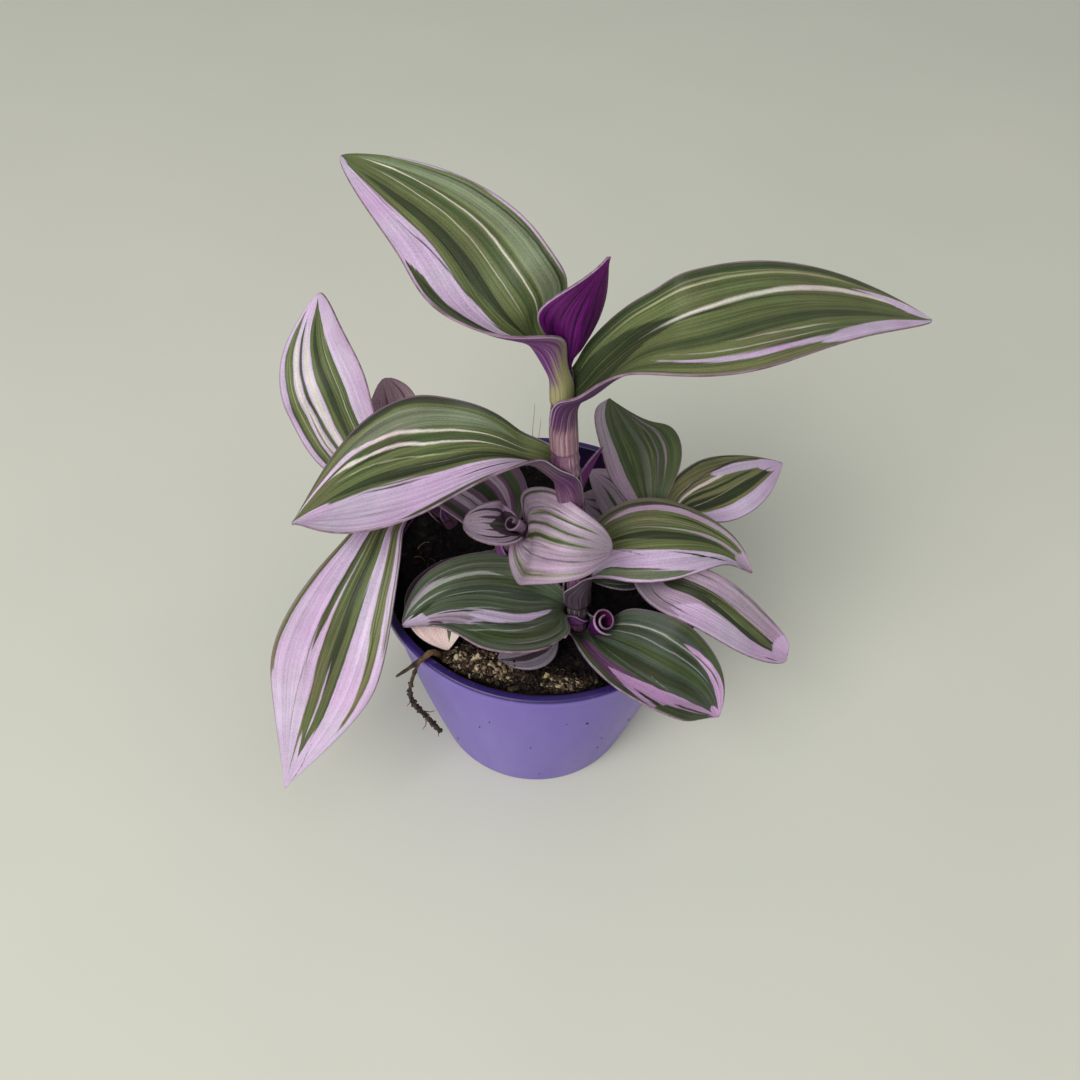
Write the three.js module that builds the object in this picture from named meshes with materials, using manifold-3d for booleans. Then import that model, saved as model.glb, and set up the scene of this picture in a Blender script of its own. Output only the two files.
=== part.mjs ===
// Potted striped tradescantia: four leafy shoots in a tapered nursery pot filled with soil.
// Millimetres and degrees, +Z up, +Y away from the viewer. The origin is the middle of the pot's underside.
import * as THREE from 'three';
import { mergeVertices } from 'three/addons/utils/BufferGeometryUtils.js';
import Module from 'manifold-3d';

const wasm = await Module();
wasm.setup();

// Driving dimensions
const gap = 0.35;
const leafGap = 0.5;
const leafThickness = 0.7;
const tipWidth = 0.8;

const pot = {
  height: 82.2,
  rimRadius: 50,
  rimInnerRadius: 47.5,
  rimDepth: 3.2,
  wallTopRadius: 48.4,
  baseRadius: 34.3,
  bulge: 0.9,
  wall: 1.2,
  floor: 1.6,
  edgeRound: 1.4,
  wallSteps: 4,
  sides: 40,
  holeCount: 6,
  holeRadius: 3.5,
  holeCircle: 22,
  holeSides: 12,
};

const soil = {
  level: 74,
  wallLevel: 73,
  rings: [42.5, 38, 33.5, 29, 24.5, 20, 15.5, 11, 6],
  lumpHeight: 0.55,
  lumpSpacing: 11,
  mounds: [
    { x: -13, y: -38, height: 4.2, spread: 7 },
    { x: -22, y: -33, height: 2.6, spread: 6 },
    { x: 0, y: -42, height: 3.4, spread: 6 },
    { x: 13, y: -41, height: 2.4, spread: 5 },
    { x: -33, y: -22, height: 1.6, spread: 7 },
    { x: 2, y: 24, height: 1.4, spread: 11 },
    { x: 30, y: 22, height: 1.8, spread: 9 },
    { x: -14, y: 34, height: 1.5, spread: 8 },
  ],
};

// Each stem runs up through its points and narrows from the soil to its top.
const stemFoot = 74;
const stemSides = 12;
const stems = {
  main: {
    node: 'stem_main',
    footRadius: 2.9,
    topRadius: 1.45,
    steps: 18,
    points: [
      [11.5, -19, 58], [11.5, -19, 74], [10, -19, 94], [9, -19, 108],
      [7.5, -19, 124], [4.5, -19, 142], [3, -19, 158], [2.4, -19, 168],
    ],
  },
  rosette: {
    node: 'stem_rosette',
    footRadius: 2.3,
    topRadius: 1.5,
    steps: 12,
    points: [[-14, 1, 58], [-13, -1, 74], [-12, -3, 88], [-9, -8, 100], [-6.5, -13, 110], [-6, -14, 113]],
  },
  right: {
    node: 'stem_right',
    footRadius: 2.4,
    topRadius: 1.5,
    steps: 10,
    points: [[25, 0, 58], [26, -2, 74], [30, -6, 88], [32, -8, 98], [33, -8, 104]],
  },
  left: {
    node: 'stem_left',
    footRadius: 2.3,
    topRadius: 1.5,
    steps: 10,
    points: [[-27, 20, 58], [-29, 19, 74], [-36, 14, 90], [-42, 8, 102], [-44, 5, 108]],
  },
};

// A leaf starts as a sheath round its stem, opens at the sheath's mouth and runs on as the blade.
// sheath: height from and to, compass angle of its back, radius; collar: length over which it opens.
// folds: trough angle at the base, middle and tip; faces: the way the upper side looks there.
const leaves = {
  leaf_top_left: {
    stem: 'main', sheath: { from: 165, to: 172, facing: 180, radius: 2.6 }, collar: 17, clasp: 150,
    columns: 8, width: 28.5, widest: 0.25, fullness: 0.77, folds: [110, 22, 28],
    faces: [[-0.4, 0.2, 1], [-0.3, -0.15, 1]],
    blade: [
      [-2.4, -19.6, 177], [-7, -18.6, 185], [-13, -15, 190], [-19.5, -5, 195],
      [-33, 9, 196.5], [-52, 32, 191.5],
    ],
    colour: '#7f8c69',
  },
  leaf_top_right: {
    stem: 'main', sheath: { from: 150, to: 160, facing: 0, radius: 3.2 }, collar: 14, clasp: 145, columns: 8,
    width: 26, widest: 0.43, fullness: 0.84, folds: [80, 20, 21],
    faces: [[0.25, -0.1, 1], [0.15, -0.2, 1]],
    blade: [
      [5.5, -23, 168.5], [11.5, -24, 176.5], [18.5, -26, 188.5], [29, -28.5, 193.5],
      [45.5, -16, 190.5], [65.5, -1.5, 181.5], [90, 9.5, 169.5],
    ],
    colour: '#76825c',
  },
  leaf_tip_bud: {
    stem: 'main', sheath: { from: 169.5, to: 174, facing: 20, radius: 1.3 }, collar: 6, columns: 6,
    width: 18.5, widest: 0.54, fullness: 1.4, folds: [70, 45, 5], curlLeft: 130,
    faces: [[-0.3, 1, 0.3], [-0.55, 0.8, 0.3]],
    blade: [[4.2, -19.5, 178], [5, -21.5, 185.5], [6.2, -23.5, 196], [9.5, -24, 207]],
    colour: '#7a3f86',
  },
  leaf_big_left: {
    stem: 'main', sheath: { from: 130, to: 140, facing: 180, radius: 3.2 }, collar: 13, clasp: 150,
    columns: 8, width: 40.5, widest: 0.54, fullness: 1.15, folds: [80, 32, 42],
    faces: [[-0.6, -0.1, 1], [-0.5, 0, 1]],
    blade: [
      [-1, -20.5, 144.5], [-7, -23, 150], [-15.5, -25.5, 153], [-27, -27, 149],
      [-44.5, -24, 138.5], [-64.5, -23.5, 121.5],
    ],
    colour: '#8d9677',
  },
  leaf_low_left: {
    stem: 'main', sheath: { from: 80, to: 82.5, facing: 185, radius: 4 }, collar: 7, columns: 6,
    width: 36, widest: 0.43, fullness: 0.83, folds: [50, 12, 47],
    faces: [[0.2, 0, 1], [0.2, 0.25, 1]],
    blade: [[4, -19.5, 85.5], [-5.5, -26, 91.5], [-15, -24, 92.5], [-27.5, -24.5, 91.5], [-38, -30.5, 87]],
    colour: '#75827a',
  },
  leaf_mid_right: {
    stem: 'main', sheath: { from: 88, to: 97, facing: 10, radius: 3.8 }, collar: 9, clasp: 90, columns: 6,
    width: 24.5, widest: 0.44, fullness: 0.9, folds: [60, 11, 32],
    faces: [[0, -0.5, 1], [0.15, 0.15, 1]],
    blade: [[16.5, -14.5, 105.5], [23, -15.5, 110], [34, -14.5, 111.5], [48.5, -11.5, 107], [58, -17, 101.5]],
    colour: '#9b8f98',
  },
  leaf_low_right: {
    stem: 'main', sheath: { from: 75.4, to: 76.6, facing: -40, radius: 4 }, collar: 7, columns: 6,
    width: 29.5, widest: 0.47, fullness: 0.97, folds: [50, 40, 27],
    faces: [[-0.1, 0.1, 1], [-0.4, -0.25, 1]], wave: { height: 0.8, count: 2, start: 0 },
    blade: [
      [16.5, -29.5, 83], [21.5, -33.5, 86.5], [28.5, -38, 87],
      [36, -41.5, 85.5], [45, -41, 79], [53, -42, 65],
    ],
    colour: '#667062',
  },
  leaf_low_front: {
    width: 15, widest: 0.5, fullness: 0.85, folds: [20, 10, 10], columns: 6,
    faces: [[0, 0, 1], [0, 0, 1]],
    blade: [[5, -25, 78.5], [-2, -31.5, 80.5], [-11, -35, 79]],
    colour: '#84758c',
  },
  bud_node: {
    stem: 'main', sheath: { from: 126, to: 128, facing: 55, radius: 3.1 }, collar: 4, columns: 6,
    width: 7, widest: 0.5, fullness: 0.85, folds: [40, 30, 20],
    faces: [[-0.5, 0.6, 0.5], [-0.5, 0.6, 0.5]],
    blade: [[9, -15.5, 132], [11, -12.5, 136.5], [13.5, -10, 141]],
    colour: '#5a2c6e',
  },
  leaf_rosette_right: {
    stem: 'rosette', sheath: { from: 102, to: 105, facing: -40, radius: 2.9 }, collar: 10, columns: 6,
    width: 26.2, widest: 0.3, fullness: 0.65, folds: [60, 4, 14], lobe: 8,
    faces: [[0.1, -0.68, 1], [0, -1, 1]],
    blade: [[-3, -19.5, 116.5], [-1.5, -25.5, 124], [4, -32, 129], [9.5, -32.5, 128.5], [17.5, -26, 120]],
    colour: '#a797a6',
  },
  leaf_rosette_left: {
    stem: 'rosette', sheath: { from: 109.5, to: 112, facing: 170, radius: 2.1 }, collar: 5, columns: 6,
    width: 12.5, widest: 0.49, fullness: 0.55, folds: [60, 41, 52],
    faces: [[0, -0.4, 1], [-0.4, -0.5, 1]],
    blade: [[-10, -18, 117.5], [-14.5, -20, 120.5], [-21, -19.5, 120]],
    colour: '#a890a8',
  },
  leaf_rosette_back: {
    stem: 'rosette', sheath: { from: 93, to: 96.5, facing: 135, radius: 2.9 }, collar: 6, columns: 6,
    width: 25.5, widest: 0.49, fullness: 0.84, folds: [40, 20, 10],
    faces: [[0, -0.3, 1], [0, 0, 1]],
    blade: [[-12.5, -1.5, 104], [-17, 0.5, 111], [-25, 2, 114], [-34, 10.5, 110]],
    colour: '#6f6a72',
  },
  leaf_under_left: {
    stem: 'rosette', sheath: { from: 78, to: 82, facing: 195, radius: 3.1 }, collar: 6, columns: 6,
    width: 21, widest: 0.62, fullness: 0.92, folds: [40, 13, 21],
    faces: [[-0.2, 0.1, 1], [-0.1, -0.1, 1]],
    blade: [[-20.5, -6.5, 85.5], [-26, -12, 86.5], [-28.5, -21, 86.5], [-28, -27.5, 84], [-25.5, -33, 79.5]],
    colour: '#7b7383',
  },
  leaf_right_back: {
    stem: 'right', sheath: { from: 96.5, to: 98.5, facing: 100, radius: 2.6 }, collar: 6, columns: 6,
    width: 30, widest: 0.66, fullness: 1.05, folds: [40, 26, 8],
    faces: [[-0.2, -0.7, 1], [0.7, 0.3, 1]],
    blade: [[30.5, -2.5, 103.5], [28.5, 2.5, 109.5], [26.5, 10, 117], [21, 17, 121], [17, 27, 122.5]],
    colour: '#5f6a58',
  },
  leaf_right_far: {
    stem: 'right', sheath: { from: 102, to: 104, facing: 20, radius: 2.2 }, collar: 6, columns: 6,
    width: 20, widest: 0.49, fullness: 0.94, folds: [50, 8, 11],
    faces: [[-0.1, -0.6, 1], [-0.2, -0.3, 1]],
    blade: [[37.5, 0.5, 106], [41, 5.5, 105], [52, 12, 102.5], [63.5, 23, 99], [73, 31, 95]],
    colour: '#7e7f78',
  },
  leaf_right_droop: {
    stem: 'right', sheath: { from: 86, to: 89, facing: -60, radius: 3.2 }, collar: 6, columns: 6,
    width: 16, widest: 0.42, fullness: 0.42, folds: [50, 23, 36],
    faces: [[0, -0.35, 1], [0.3, -0.5, 1]],
    blade: [[33.5, -21, 97.5], [40.5, -24, 100], [51, -26, 94.5], [60.5, -25.5, 83.5], [74.5, -22, 68.5]],
    colour: '#8f8490',
  },
  leaf_right_inner: {
    stem: 'right', sheath: { from: 92.5, to: 94.5, facing: 150, radius: 2.8 }, collar: 5, columns: 6,
    width: 13, widest: 0.5, fullness: 0.85, folds: [40, 20, 20],
    faces: [[0, -0.5, 1], [0, -0.7, 1]],
    blade: [[26.5, -2, 100.5], [20.5, 6.5, 106], [12.5, 13, 107]],
    colour: '#857689',
  },
  leaf_right_near: {
    stem: 'right', sheath: { from: 82.5, to: 85, facing: 150, radius: 3 }, collar: 5, columns: 6,
    width: 17, widest: 0.5, fullness: 0.85, folds: [40, 20, 20],
    faces: [[0, -0.5, 1], [0, -0.5, 1]],
    blade: [[25, -1, 94], [19, 4.5, 99.5], [9, 9, 99]],
    colour: '#94869a',
  },
  leaf_right_low: {
    stem: 'right', sheath: { from: 76.5, to: 79, facing: 220, radius: 3.1 }, collar: 5, columns: 6,
    width: 13, widest: 0.5, fullness: 0.85, folds: [40, 20, 20],
    faces: [[0, 0, 1], [0, 0, 1]],
    blade: [[23.5, -9, 86], [20, -11, 89], [14.5, -13, 89]],
    colour: '#6a6d6e',
  },
  leaf_left_back: {
    stem: 'left', sheath: { from: 97, to: 101, facing: 150, radius: 2.6 }, collar: 6, columns: 8,
    width: 32, widest: 0.51, fullness: 0.78, folds: [45, 54, 38],
    faces: [[-0.3, -0.5, 1], [-0.9, -0.2, 1]],
    blade: [[-48.5, 8, 112], [-54, 10.5, 121], [-56.5, 14.5, 131.5], [-62.5, 21.5, 139.5], [-65, 38.5, 146]],
    colour: '#a18fa0',
  },
  leaf_left_hang: {
    stem: 'left', sheath: { from: 88.5, to: 92.5, facing: -115, radius: 3.1 }, collar: 6, columns: 8,
    width: 30, widest: 0.57, fullness: 1.17, folds: [40, 14, 3],
    faces: [[0.2, -0.5, 1], [0, -1, 0.7]], wave: { height: 0.8, count: 2, start: 0.2 },
    blade: [
      [-45, -7.5, 104.5], [-46, -17, 104.5], [-52, -29.5, 97], [-59, -38.5, 79.5],
      [-65, -43.5, 58.5], [-73.5, -58.5, 39],
    ],
    colour: '#a893a8',
  },
  leaf_left_behind: {
    stem: 'left', sheath: { from: 80, to: 84, facing: 80, radius: 2.9 }, collar: 6, columns: 6,
    width: 22.5, widest: 0.52, fullness: 0.69, folds: [40, 27, 22],
    faces: [[-0.05, -0.7, 1], [-0.4, -0.1, 1]],
    blade: [[-41.5, 20.5, 101.5], [-44, 23, 110.5], [-45, 26.5, 118], [-48.5, 31.5, 122]],
    colour: '#8c7f8e',
  },
};

// Rolled young leaves: a sheet wound outwards from its middle, wider at the top than at the foot.
const rolls = {
  bud_low_right: {
    foot: [15.9, -25, 82.5], top: [18.7, -28, 91], innerRadius: 1.5, outerRadius: 4.2,
    turns: 1.5, startAngle: 200, footShare: 0.5, colour: '#8d5b93',
  },
  rosette_roll: {
    foot: [-6.3, -14.5, 113.9], top: [-9, -17.2, 119], innerRadius: 0.7, outerRadius: 2.8,
    turns: 1.1, startAngle: 60, footShare: 0.6, colour: '#a890a8',
  },
};
const rollThickness = 0.6;
const rollColumns = 16;
const rollRows = 3;

// A dead brown stalk lies over the rim and carries a dried root that hangs down outside the wall.
const deadStalk = {
  stalkRadius: 0.85,
  stalk: [[-27, -33.5, 76], [-29.5, -36, 82.6], [-32.5, -40, 84.2], [-38, -46, 85.5]],
  rootRadius: 0.55,
  root: [
    [-32.7, -40.2, 84], [-34.6, -41.9, 78], [-35.7, -42.6, 71],
    [-34.6, -42.2, 63], [-31.5, -42, 55.5], [-28.2, -43.2, 50],
  ],
  stalkSteps: 10,
  rootSteps: 14,
};

// Rows of points along a leaf: in its collar, and in each stretch of its blade
const leafRows = { collar: 4, blade: 8, stretch: 70, fewest: 5, most: 14 };
const crossSteps = 16;
// A sheath wraps its stem by sheathWrap, and lets go over sheathMouth below its mouth and mouthLip above it.
const sheathWrap = 166;
const sheathMouth = 5;
const mouthLip = 1.5;
const usualClasp = 72;
const neckWidth = 2.5;
const belly = 0.45;
// A waved margin starts and ends flat; the right margin follows the left one by waveLag.
const waveShape = { startLow: 0.05, startHigh: 0.3, endLow: 0.85, lag: 0.9 };

const vector = (p) => new THREE.Vector3(p[0], p[1], p[2]);
const { lerp, clamp, degToRad, smoothstep } = THREE.MathUtils;

// A soft curve that passes through its two end points and is drawn towards the others.
class SoftCurve extends THREE.Curve {
  constructor(points) {
    super();
    this.points = points;
    const last = points.length - 1;
    this.before = points[0].clone().multiplyScalar(2).sub(points[1]);
    this.after = points[last].clone().multiplyScalar(2).sub(points[last - 1]);
  }

  pointAt(index) {
    if (index < 0) return this.before;
    if (index >= this.points.length) return this.after;
    return this.points[index];
  }

  getPoint(t, target = new THREE.Vector3()) {
    const spans = this.points.length - 1;
    const scaled = clamp(t, 0, 1) * spans;
    const index = Math.min(Math.floor(scaled), spans - 1);
    const f = scaled - index;
    const weights = [
      (1 - f) ** 3,
      3 * f ** 3 - 6 * f ** 2 + 4,
      -3 * f ** 3 + 3 * f ** 2 + 3 * f + 1,
      f ** 3,
    ];
    target.set(0, 0, 0);
    weights.forEach((weight, k) => target.addScaledVector(this.pointAt(index - 1 + k), weight / 6));
    return target;
  }
}

// Closed geometry to a solid and back
function toSolid(geometry) {
  const bare = geometry.clone();
  bare.deleteAttribute('normal');
  bare.deleteAttribute('uv');
  const merged = mergeVertices(bare, 1e-4);
  return new wasm.Manifold(new wasm.Mesh({
    numProp: 3,
    vertProperties: new Float32Array(merged.attributes.position.array),
    triVerts: new Uint32Array(merged.index.array),
  }));
}

function toGeometry(solid) {
  const mesh = solid.getMesh();
  const geometry = new THREE.BufferGeometry();
  geometry.setAttribute('position', new THREE.BufferAttribute(mesh.vertProperties, 3));
  geometry.setIndex(new THREE.BufferAttribute(mesh.triVerts, 1));
  const flat = geometry.toNonIndexed();
  flat.computeVertexNormals();
  return flat;
}

// A closed sheet: the same grid of triangles on both faces, joined round the border.
function sheetGeometry(grid, thickness) {
  const rows = grid.length - 1;
  const columns = grid[0].length - 1;
  const plane = new THREE.PlaneGeometry(1, 1, columns, rows);
  const count = plane.attributes.position.count;
  const positions = [[], []];
  grid.forEach((row, i) => row.forEach((point, j) => {
    const alongRow = row[Math.min(j + 1, columns)].clone().sub(row[Math.max(j - 1, 0)]);
    const acrossRows = grid[Math.min(i + 1, rows)][j].clone().sub(grid[Math.max(i - 1, 0)][j]);
    const normal = acrossRows.cross(alongRow).normalize().multiplyScalar(thickness / 2);
    positions[0].push(...point.clone().add(normal).toArray());
    positions[1].push(...point.clone().sub(normal).toArray());
  }));
  const upper = Array.from(plane.index.array);
  const lower = upper.map((value, k) => upper[k - (k % 3) + (2 - (k % 3))] + count);
  const at = (i, j) => i * (columns + 1) + j;
  const border = [];
  for (let j = 0; j < columns; j += 1) border.push(at(0, j));
  for (let i = 0; i < rows; i += 1) border.push(at(i, columns));
  for (let j = columns; j > 0; j -= 1) border.push(at(rows, j));
  for (let i = rows; i > 0; i -= 1) border.push(at(i, 0));
  const edge = border.flatMap((a, k) => {
    const b = border[(k + 1) % border.length];
    return [a, b, b + count, a, b + count, a + count];
  });
  const geometry = new THREE.BufferGeometry();
  geometry.setAttribute('position', new THREE.Float32BufferAttribute(positions.flat(), 3));
  geometry.setIndex([...upper, ...lower, ...edge]);
  return geometry;
}

// Stems
function stemCurve(name) {
  return new SoftCurve(stems[name].points.map(vector));
}

function stemRadius(name, z) {
  const { footRadius, topRadius, points } = stems[name];
  const share = clamp((z - stemFoot) / (points.at(-1)[2] - stemFoot), 0, 1);
  return lerp(footRadius, topRadius, share);
}

function stemCentre(name, z) {
  const curve = stemCurve(name);
  let low = 0;
  let high = 1;
  for (let step = 0; step < 40; step += 1) {
    const middle = (low + high) / 2;
    if (curve.getPoint(middle).z < z) low = middle;
    else high = middle;
  }
  return curve.getPoint(low).setZ(z);
}

function stemSolid(name, extra = 0) {
  const { steps } = stems[name];
  const curve = stemCurve(name);
  const geometry = new THREE.CylinderGeometry(1, 1, 1, stemSides, steps);
  const position = geometry.attributes.position;
  for (let k = 0; k < position.count; k += 1) {
    const share = position.getY(k) + 0.5;
    const centre = curve.getPoint(share);
    const radius = stemRadius(name, centre.z) + extra;
    const atEnd = Math.abs(share - 0.5) > 0.499;
    const lift = atEnd ? Math.sign(share - 0.5) * extra : 0;
    position.setXYZ(
      k,
      centre.x + radius * position.getX(k),
      centre.y - radius * position.getZ(k),
      centre.z + lift,
    );
  }
  return toSolid(geometry);
}

// Leaves
function outward(angle) {
  const turn = degToRad(angle);
  return new THREE.Vector3(Math.cos(turn), Math.sin(turn), 0);
}

function sheathPoints(leaf) {
  const { from, to, facing, radius } = leaf.sheath;
  return [from, (from + to) / 2, to].map((z) => (
    stemCentre(leaf.stem, z).addScaledVector(outward(facing), radius)
  ));
}

function leafFrame(leaf) {
  const start = leaf.sheath ? sheathPoints(leaf) : [];
  const curve = new SoftCurve([...start, ...leaf.blade.map(vector)]);
  curve.arcLengthDivisions = 240;
  const length = curve.getLength();
  let mouth = 0;
  if (leaf.sheath) {
    const share = (start.length - 1) / (curve.points.length - 1);
    const lengths = curve.getLengths();
    const place = share * curve.arcLengthDivisions;
    const index = Math.floor(place);
    mouth = lerp(lengths[index], lengths[index + 1], place - index);
  }
  return { curve, length, mouth };
}

// Distances along the midrib at which the leaf has a row of points
function leafStations(leaf, frame) {
  const { length, mouth } = frame;
  const stations = [0];
  if (leaf.sheath) {
    if (mouth > 2 * sheathMouth) stations.push(mouth - sheathMouth);
    stations.push(mouth - Math.min(sheathMouth, mouth) / 2);
    for (let k = 0; k < leafRows.collar; k += 1) stations.push(mouth + (leaf.collar * k) / leafRows.collar);
  }
  const bladeStart = leaf.sheath ? mouth + leaf.collar : 0;
  const wished = Math.round((leafRows.blade * (length - bladeStart)) / leafRows.stretch);
  const rows = clamp(wished, leafRows.fewest, leafRows.most);
  for (let k = leaf.sheath ? 0 : 1; k <= rows; k += 1) stations.push(lerp(bladeStart, length, k / rows));
  return stations;
}

function bladeOutline(leaf, share) {
  const power = Math.log(0.5) / Math.log(leaf.widest);
  return Math.max(0, Math.sin(Math.PI * share ** power)) ** leaf.fullness;
}

function leafRow(leaf, frame, distance, widen) {
  const { curve, length, mouth } = frame;
  const point = curve.getPointAt(distance / length);
  const tangent = curve.getTangentAt(distance / length);
  const share = clamp((distance - mouth) / (length - mouth), 0, 1);
  const opened = leaf.sheath ? smoothstep(distance - mouth, 0, leaf.collar) : 1;
  const normal = vector(leaf.faces[0]).lerp(vector(leaf.faces[1]), smoothstep(share, 0, 1)).normalize();
  let half = (leaf.width / 2) * bladeOutline(leaf, share) + tipWidth / 2;
  const [baseFold, middleFold, tipFold] = leaf.folds.map(degToRad);
  let fold = share < belly
    ? lerp(baseFold, middleFold, smoothstep(share, 0, belly))
    : lerp(middleFold, tipFold, smoothstep(share, belly, 1));
  if (leaf.sheath) {
    const { facing, radius } = leaf.sheath;
    const neck = neckWidth * (1 - share) ** 5;
    const release = smoothstep(distance - mouth, -sheathMouth, mouthLip);
    const wrap = lerp(degToRad(sheathWrap), degToRad(leaf.clasp ?? usualClasp), release);
    half = lerp(radius * wrap, half + neck, opened);
    fold = lerp(wrap, fold, opened);
    normal.multiplyScalar(opened).addScaledVector(outward(facing), opened - 1);
  }
  normal.addScaledVector(tangent, -normal.dot(tangent)).normalize();
  const side = tangent.clone().cross(normal);
  const back = (leaf.lobe ?? 0) * opened ** 2 * (1 - smoothstep(share, 0, belly));
  const { startLow, startHigh, endLow } = waveShape;
  const ripple = smoothstep(share, startLow, startHigh) * (1 - smoothstep(share, endLow, 1));
  return { point, tangent, normal, side, share, opened, back, ripple, fold, half: half + widen };
}

function leafPoint(leaf, row, v) {
  const right = v > 0;
  const curl = degToRad((right ? 0 : leaf.curlLeft ?? 0) * row.opened);
  const reach = Math.abs(v) * crossSteps;
  let across = 0;
  let up = 0;
  for (let step = 0; step < crossSteps; step += 1) {
    const middle = (step + 0.5) / crossSteps;
    const angle = row.fold * middle + curl * middle ** 3;
    const part = (clamp(reach - step, 0, 1) * row.half) / crossSteps;
    across += part * Math.cos(angle);
    up += part * Math.sin(angle);
  }
  if (leaf.wave) {
    const { height, count, start } = leaf.wave;
    const phase = 2 * Math.PI * (count * row.share + start) + (right ? waveShape.lag : 0);
    up += height * v * v * Math.sin(phase) * row.ripple;
  }
  return row.point.clone()
    .addScaledVector(row.side, right ? across : -across)
    .addScaledVector(row.normal, up)
    .addScaledVector(row.tangent, -row.back * v * v);
}

function leafGrid(leaf, widen = 0) {
  const frame = leafFrame(leaf);
  return leafStations(leaf, frame).map((distance, index, all) => {
    const row = leafRow(leaf, frame, distance, widen);
    if (index === 0) row.point.addScaledVector(row.tangent, -widen);
    if (index === all.length - 1) row.point.addScaledVector(row.tangent, widen);
    const columns = Array.from({ length: leaf.columns + 1 }, (_, j) => (2 * j) / leaf.columns - 1);
    return columns.map((v) => leafPoint(leaf, row, v));
  });
}

function leafSolid(name, extra = 0) {
  return toSolid(sheetGeometry(leafGrid(leaves[name], extra), leafThickness + 2 * extra));
}

// Rolled young leaves
function rollSolid(name) {
  const roll = rolls[name];
  const foot = vector(roll.foot);
  const axis = vector(roll.top).sub(foot);
  const across = new THREE.Vector3(1, 0, 0).cross(axis).normalize();
  const side = axis.clone().normalize().cross(across);
  const grid = Array.from({ length: rollRows + 1 }, (_, i) => (
    Array.from({ length: rollColumns + 1 }, (_unused, j) => {
      const wound = j / rollColumns;
      const height = (i / rollRows) * (1 - 0.3 * Math.sin(Math.PI * wound) ** 2 * (1 - wound));
      const angle = degToRad(roll.startAngle) + 2 * Math.PI * roll.turns * wound;
      const radius = lerp(roll.innerRadius, roll.outerRadius, wound) * lerp(roll.footShare, 1, height);
      return foot.clone()
        .addScaledVector(axis, height)
        .addScaledVector(across, radius * Math.cos(angle))
        .addScaledVector(side, radius * Math.sin(angle));
    })
  ));
  return toSolid(sheetGeometry(grid, rollThickness));
}

// Dead stalk with its dried root
function rodSolid(points, radius, steps) {
  const section = new THREE.Shape();
  section.absarc(0, 0, radius, 0, 2 * Math.PI);
  const curve = new THREE.CatmullRomCurve3(points.map(vector));
  return toSolid(new THREE.ExtrudeGeometry(section, { steps, extrudePath: curve, curveSegments: 2 }));
}

function deadStalkSolid(extra = 0) {
  const { stalk, stalkRadius, stalkSteps, root, rootRadius, rootSteps } = deadStalk;
  const [end, next] = stalk.map(vector);
  const longer = end.clone().addScaledVector(end.clone().sub(next).normalize(), extra).toArray();
  const rod = rodSolid([longer, ...stalk.slice(1)], stalkRadius + extra, stalkSteps);
  return rod.add(rodSolid(root, rootRadius + extra, rootSteps));
}

// Pot
function wallRadius(z) {
  const share = clamp(z / (pot.height - pot.rimDepth), 0, 1);
  return lerp(pot.baseRadius, pot.wallTopRadius, share) + pot.bulge * Math.sin(Math.PI * share);
}

function revolve(profile, sides) {
  const points = profile.map(([radius, z]) => new THREE.Vector2(radius, z));
  return new THREE.LatheGeometry(points, sides).rotateX(Math.PI / 2);
}

function potSolid() {
  const rimFoot = pot.height - pot.rimDepth;
  const levels = (foot) => Array.from({ length: pot.wallSteps + 1 }, (_, k) => (
    lerp(foot, rimFoot, k / pot.wallSteps)
  ));
  const outer = levels(pot.edgeRound).map((z) => [wallRadius(z), z]);
  const inner = levels(pot.floor).map((z) => [wallRadius(z) - pot.wall, z]).reverse();
  const profile = [
    [0, 0],
    [pot.baseRadius - pot.edgeRound, 0],
    [pot.baseRadius - 0.3 * pot.edgeRound, 0.35 * pot.edgeRound],
    ...outer,
    [pot.rimRadius - 0.5, rimFoot + 0.2],
    [pot.rimRadius, rimFoot + 0.8],
    [pot.rimRadius, pot.height - 0.7],
    [pot.rimRadius - 0.6, pot.height],
    [pot.rimInnerRadius + 0.4, pot.height],
    [pot.rimInnerRadius, pot.height - 0.6],
    ...inner,
    [0, pot.floor],
  ];
  const shell = toSolid(revolve(profile, pot.sides));
  const drill = new THREE.CylinderGeometry(pot.holeRadius, pot.holeRadius, 6 * pot.floor, pot.holeSides);
  drill.rotateX(Math.PI / 2);
  const holes = Array.from({ length: pot.holeCount }, (_, k) => {
    const angle = (2 * Math.PI * k) / pot.holeCount;
    return toSolid(drill.clone().translate(
      pot.holeCircle * Math.cos(angle),
      pot.holeCircle * Math.sin(angle),
      0,
    ));
  });
  return holes.reduce((body, hole) => body.subtract(hole), shell);
}

// Soil
function soilTop(x, y) {
  const mound = (m) => m.height * Math.exp(-((x - m.x) ** 2 + (y - m.y) ** 2) / (2 * m.spread ** 2));
  const turn = (2 * Math.PI) / soil.lumpSpacing;
  const lumps = soil.lumpHeight * (Math.sin(turn * (x + 0.4 * y)) + Math.sin(turn * (0.9 * y - 0.5 * x)));
  return soil.level + lumps + soil.mounds.reduce((sum, m) => sum + mound(m), 0);
}

function soilSolid() {
  const fit = pot.wall + gap;
  const floor = pot.floor + gap;
  const side = [floor, 20, 40, 58, soil.wallLevel].map((z) => [wallRadius(z) - fit, z]);
  const top = soil.rings.map((radius) => [radius, soil.level]);
  const geometry = revolve([[0, floor], ...side, ...top, [0, soil.level]], pot.sides);
  const position = geometry.attributes.position;
  for (let k = 0; k < position.count; k += 1) {
    if (position.getZ(k) > soil.level - 0.01) {
      position.setZ(k, soilTop(position.getX(k), position.getY(k)));
    }
  }
  const body = toSolid(geometry);
  const holes = [...Object.keys(stems).map((name) => stemSolid(name, gap)), deadStalkSolid(gap)];
  return holes.reduce((rest, hole) => rest.subtract(hole), body);
}

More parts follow.
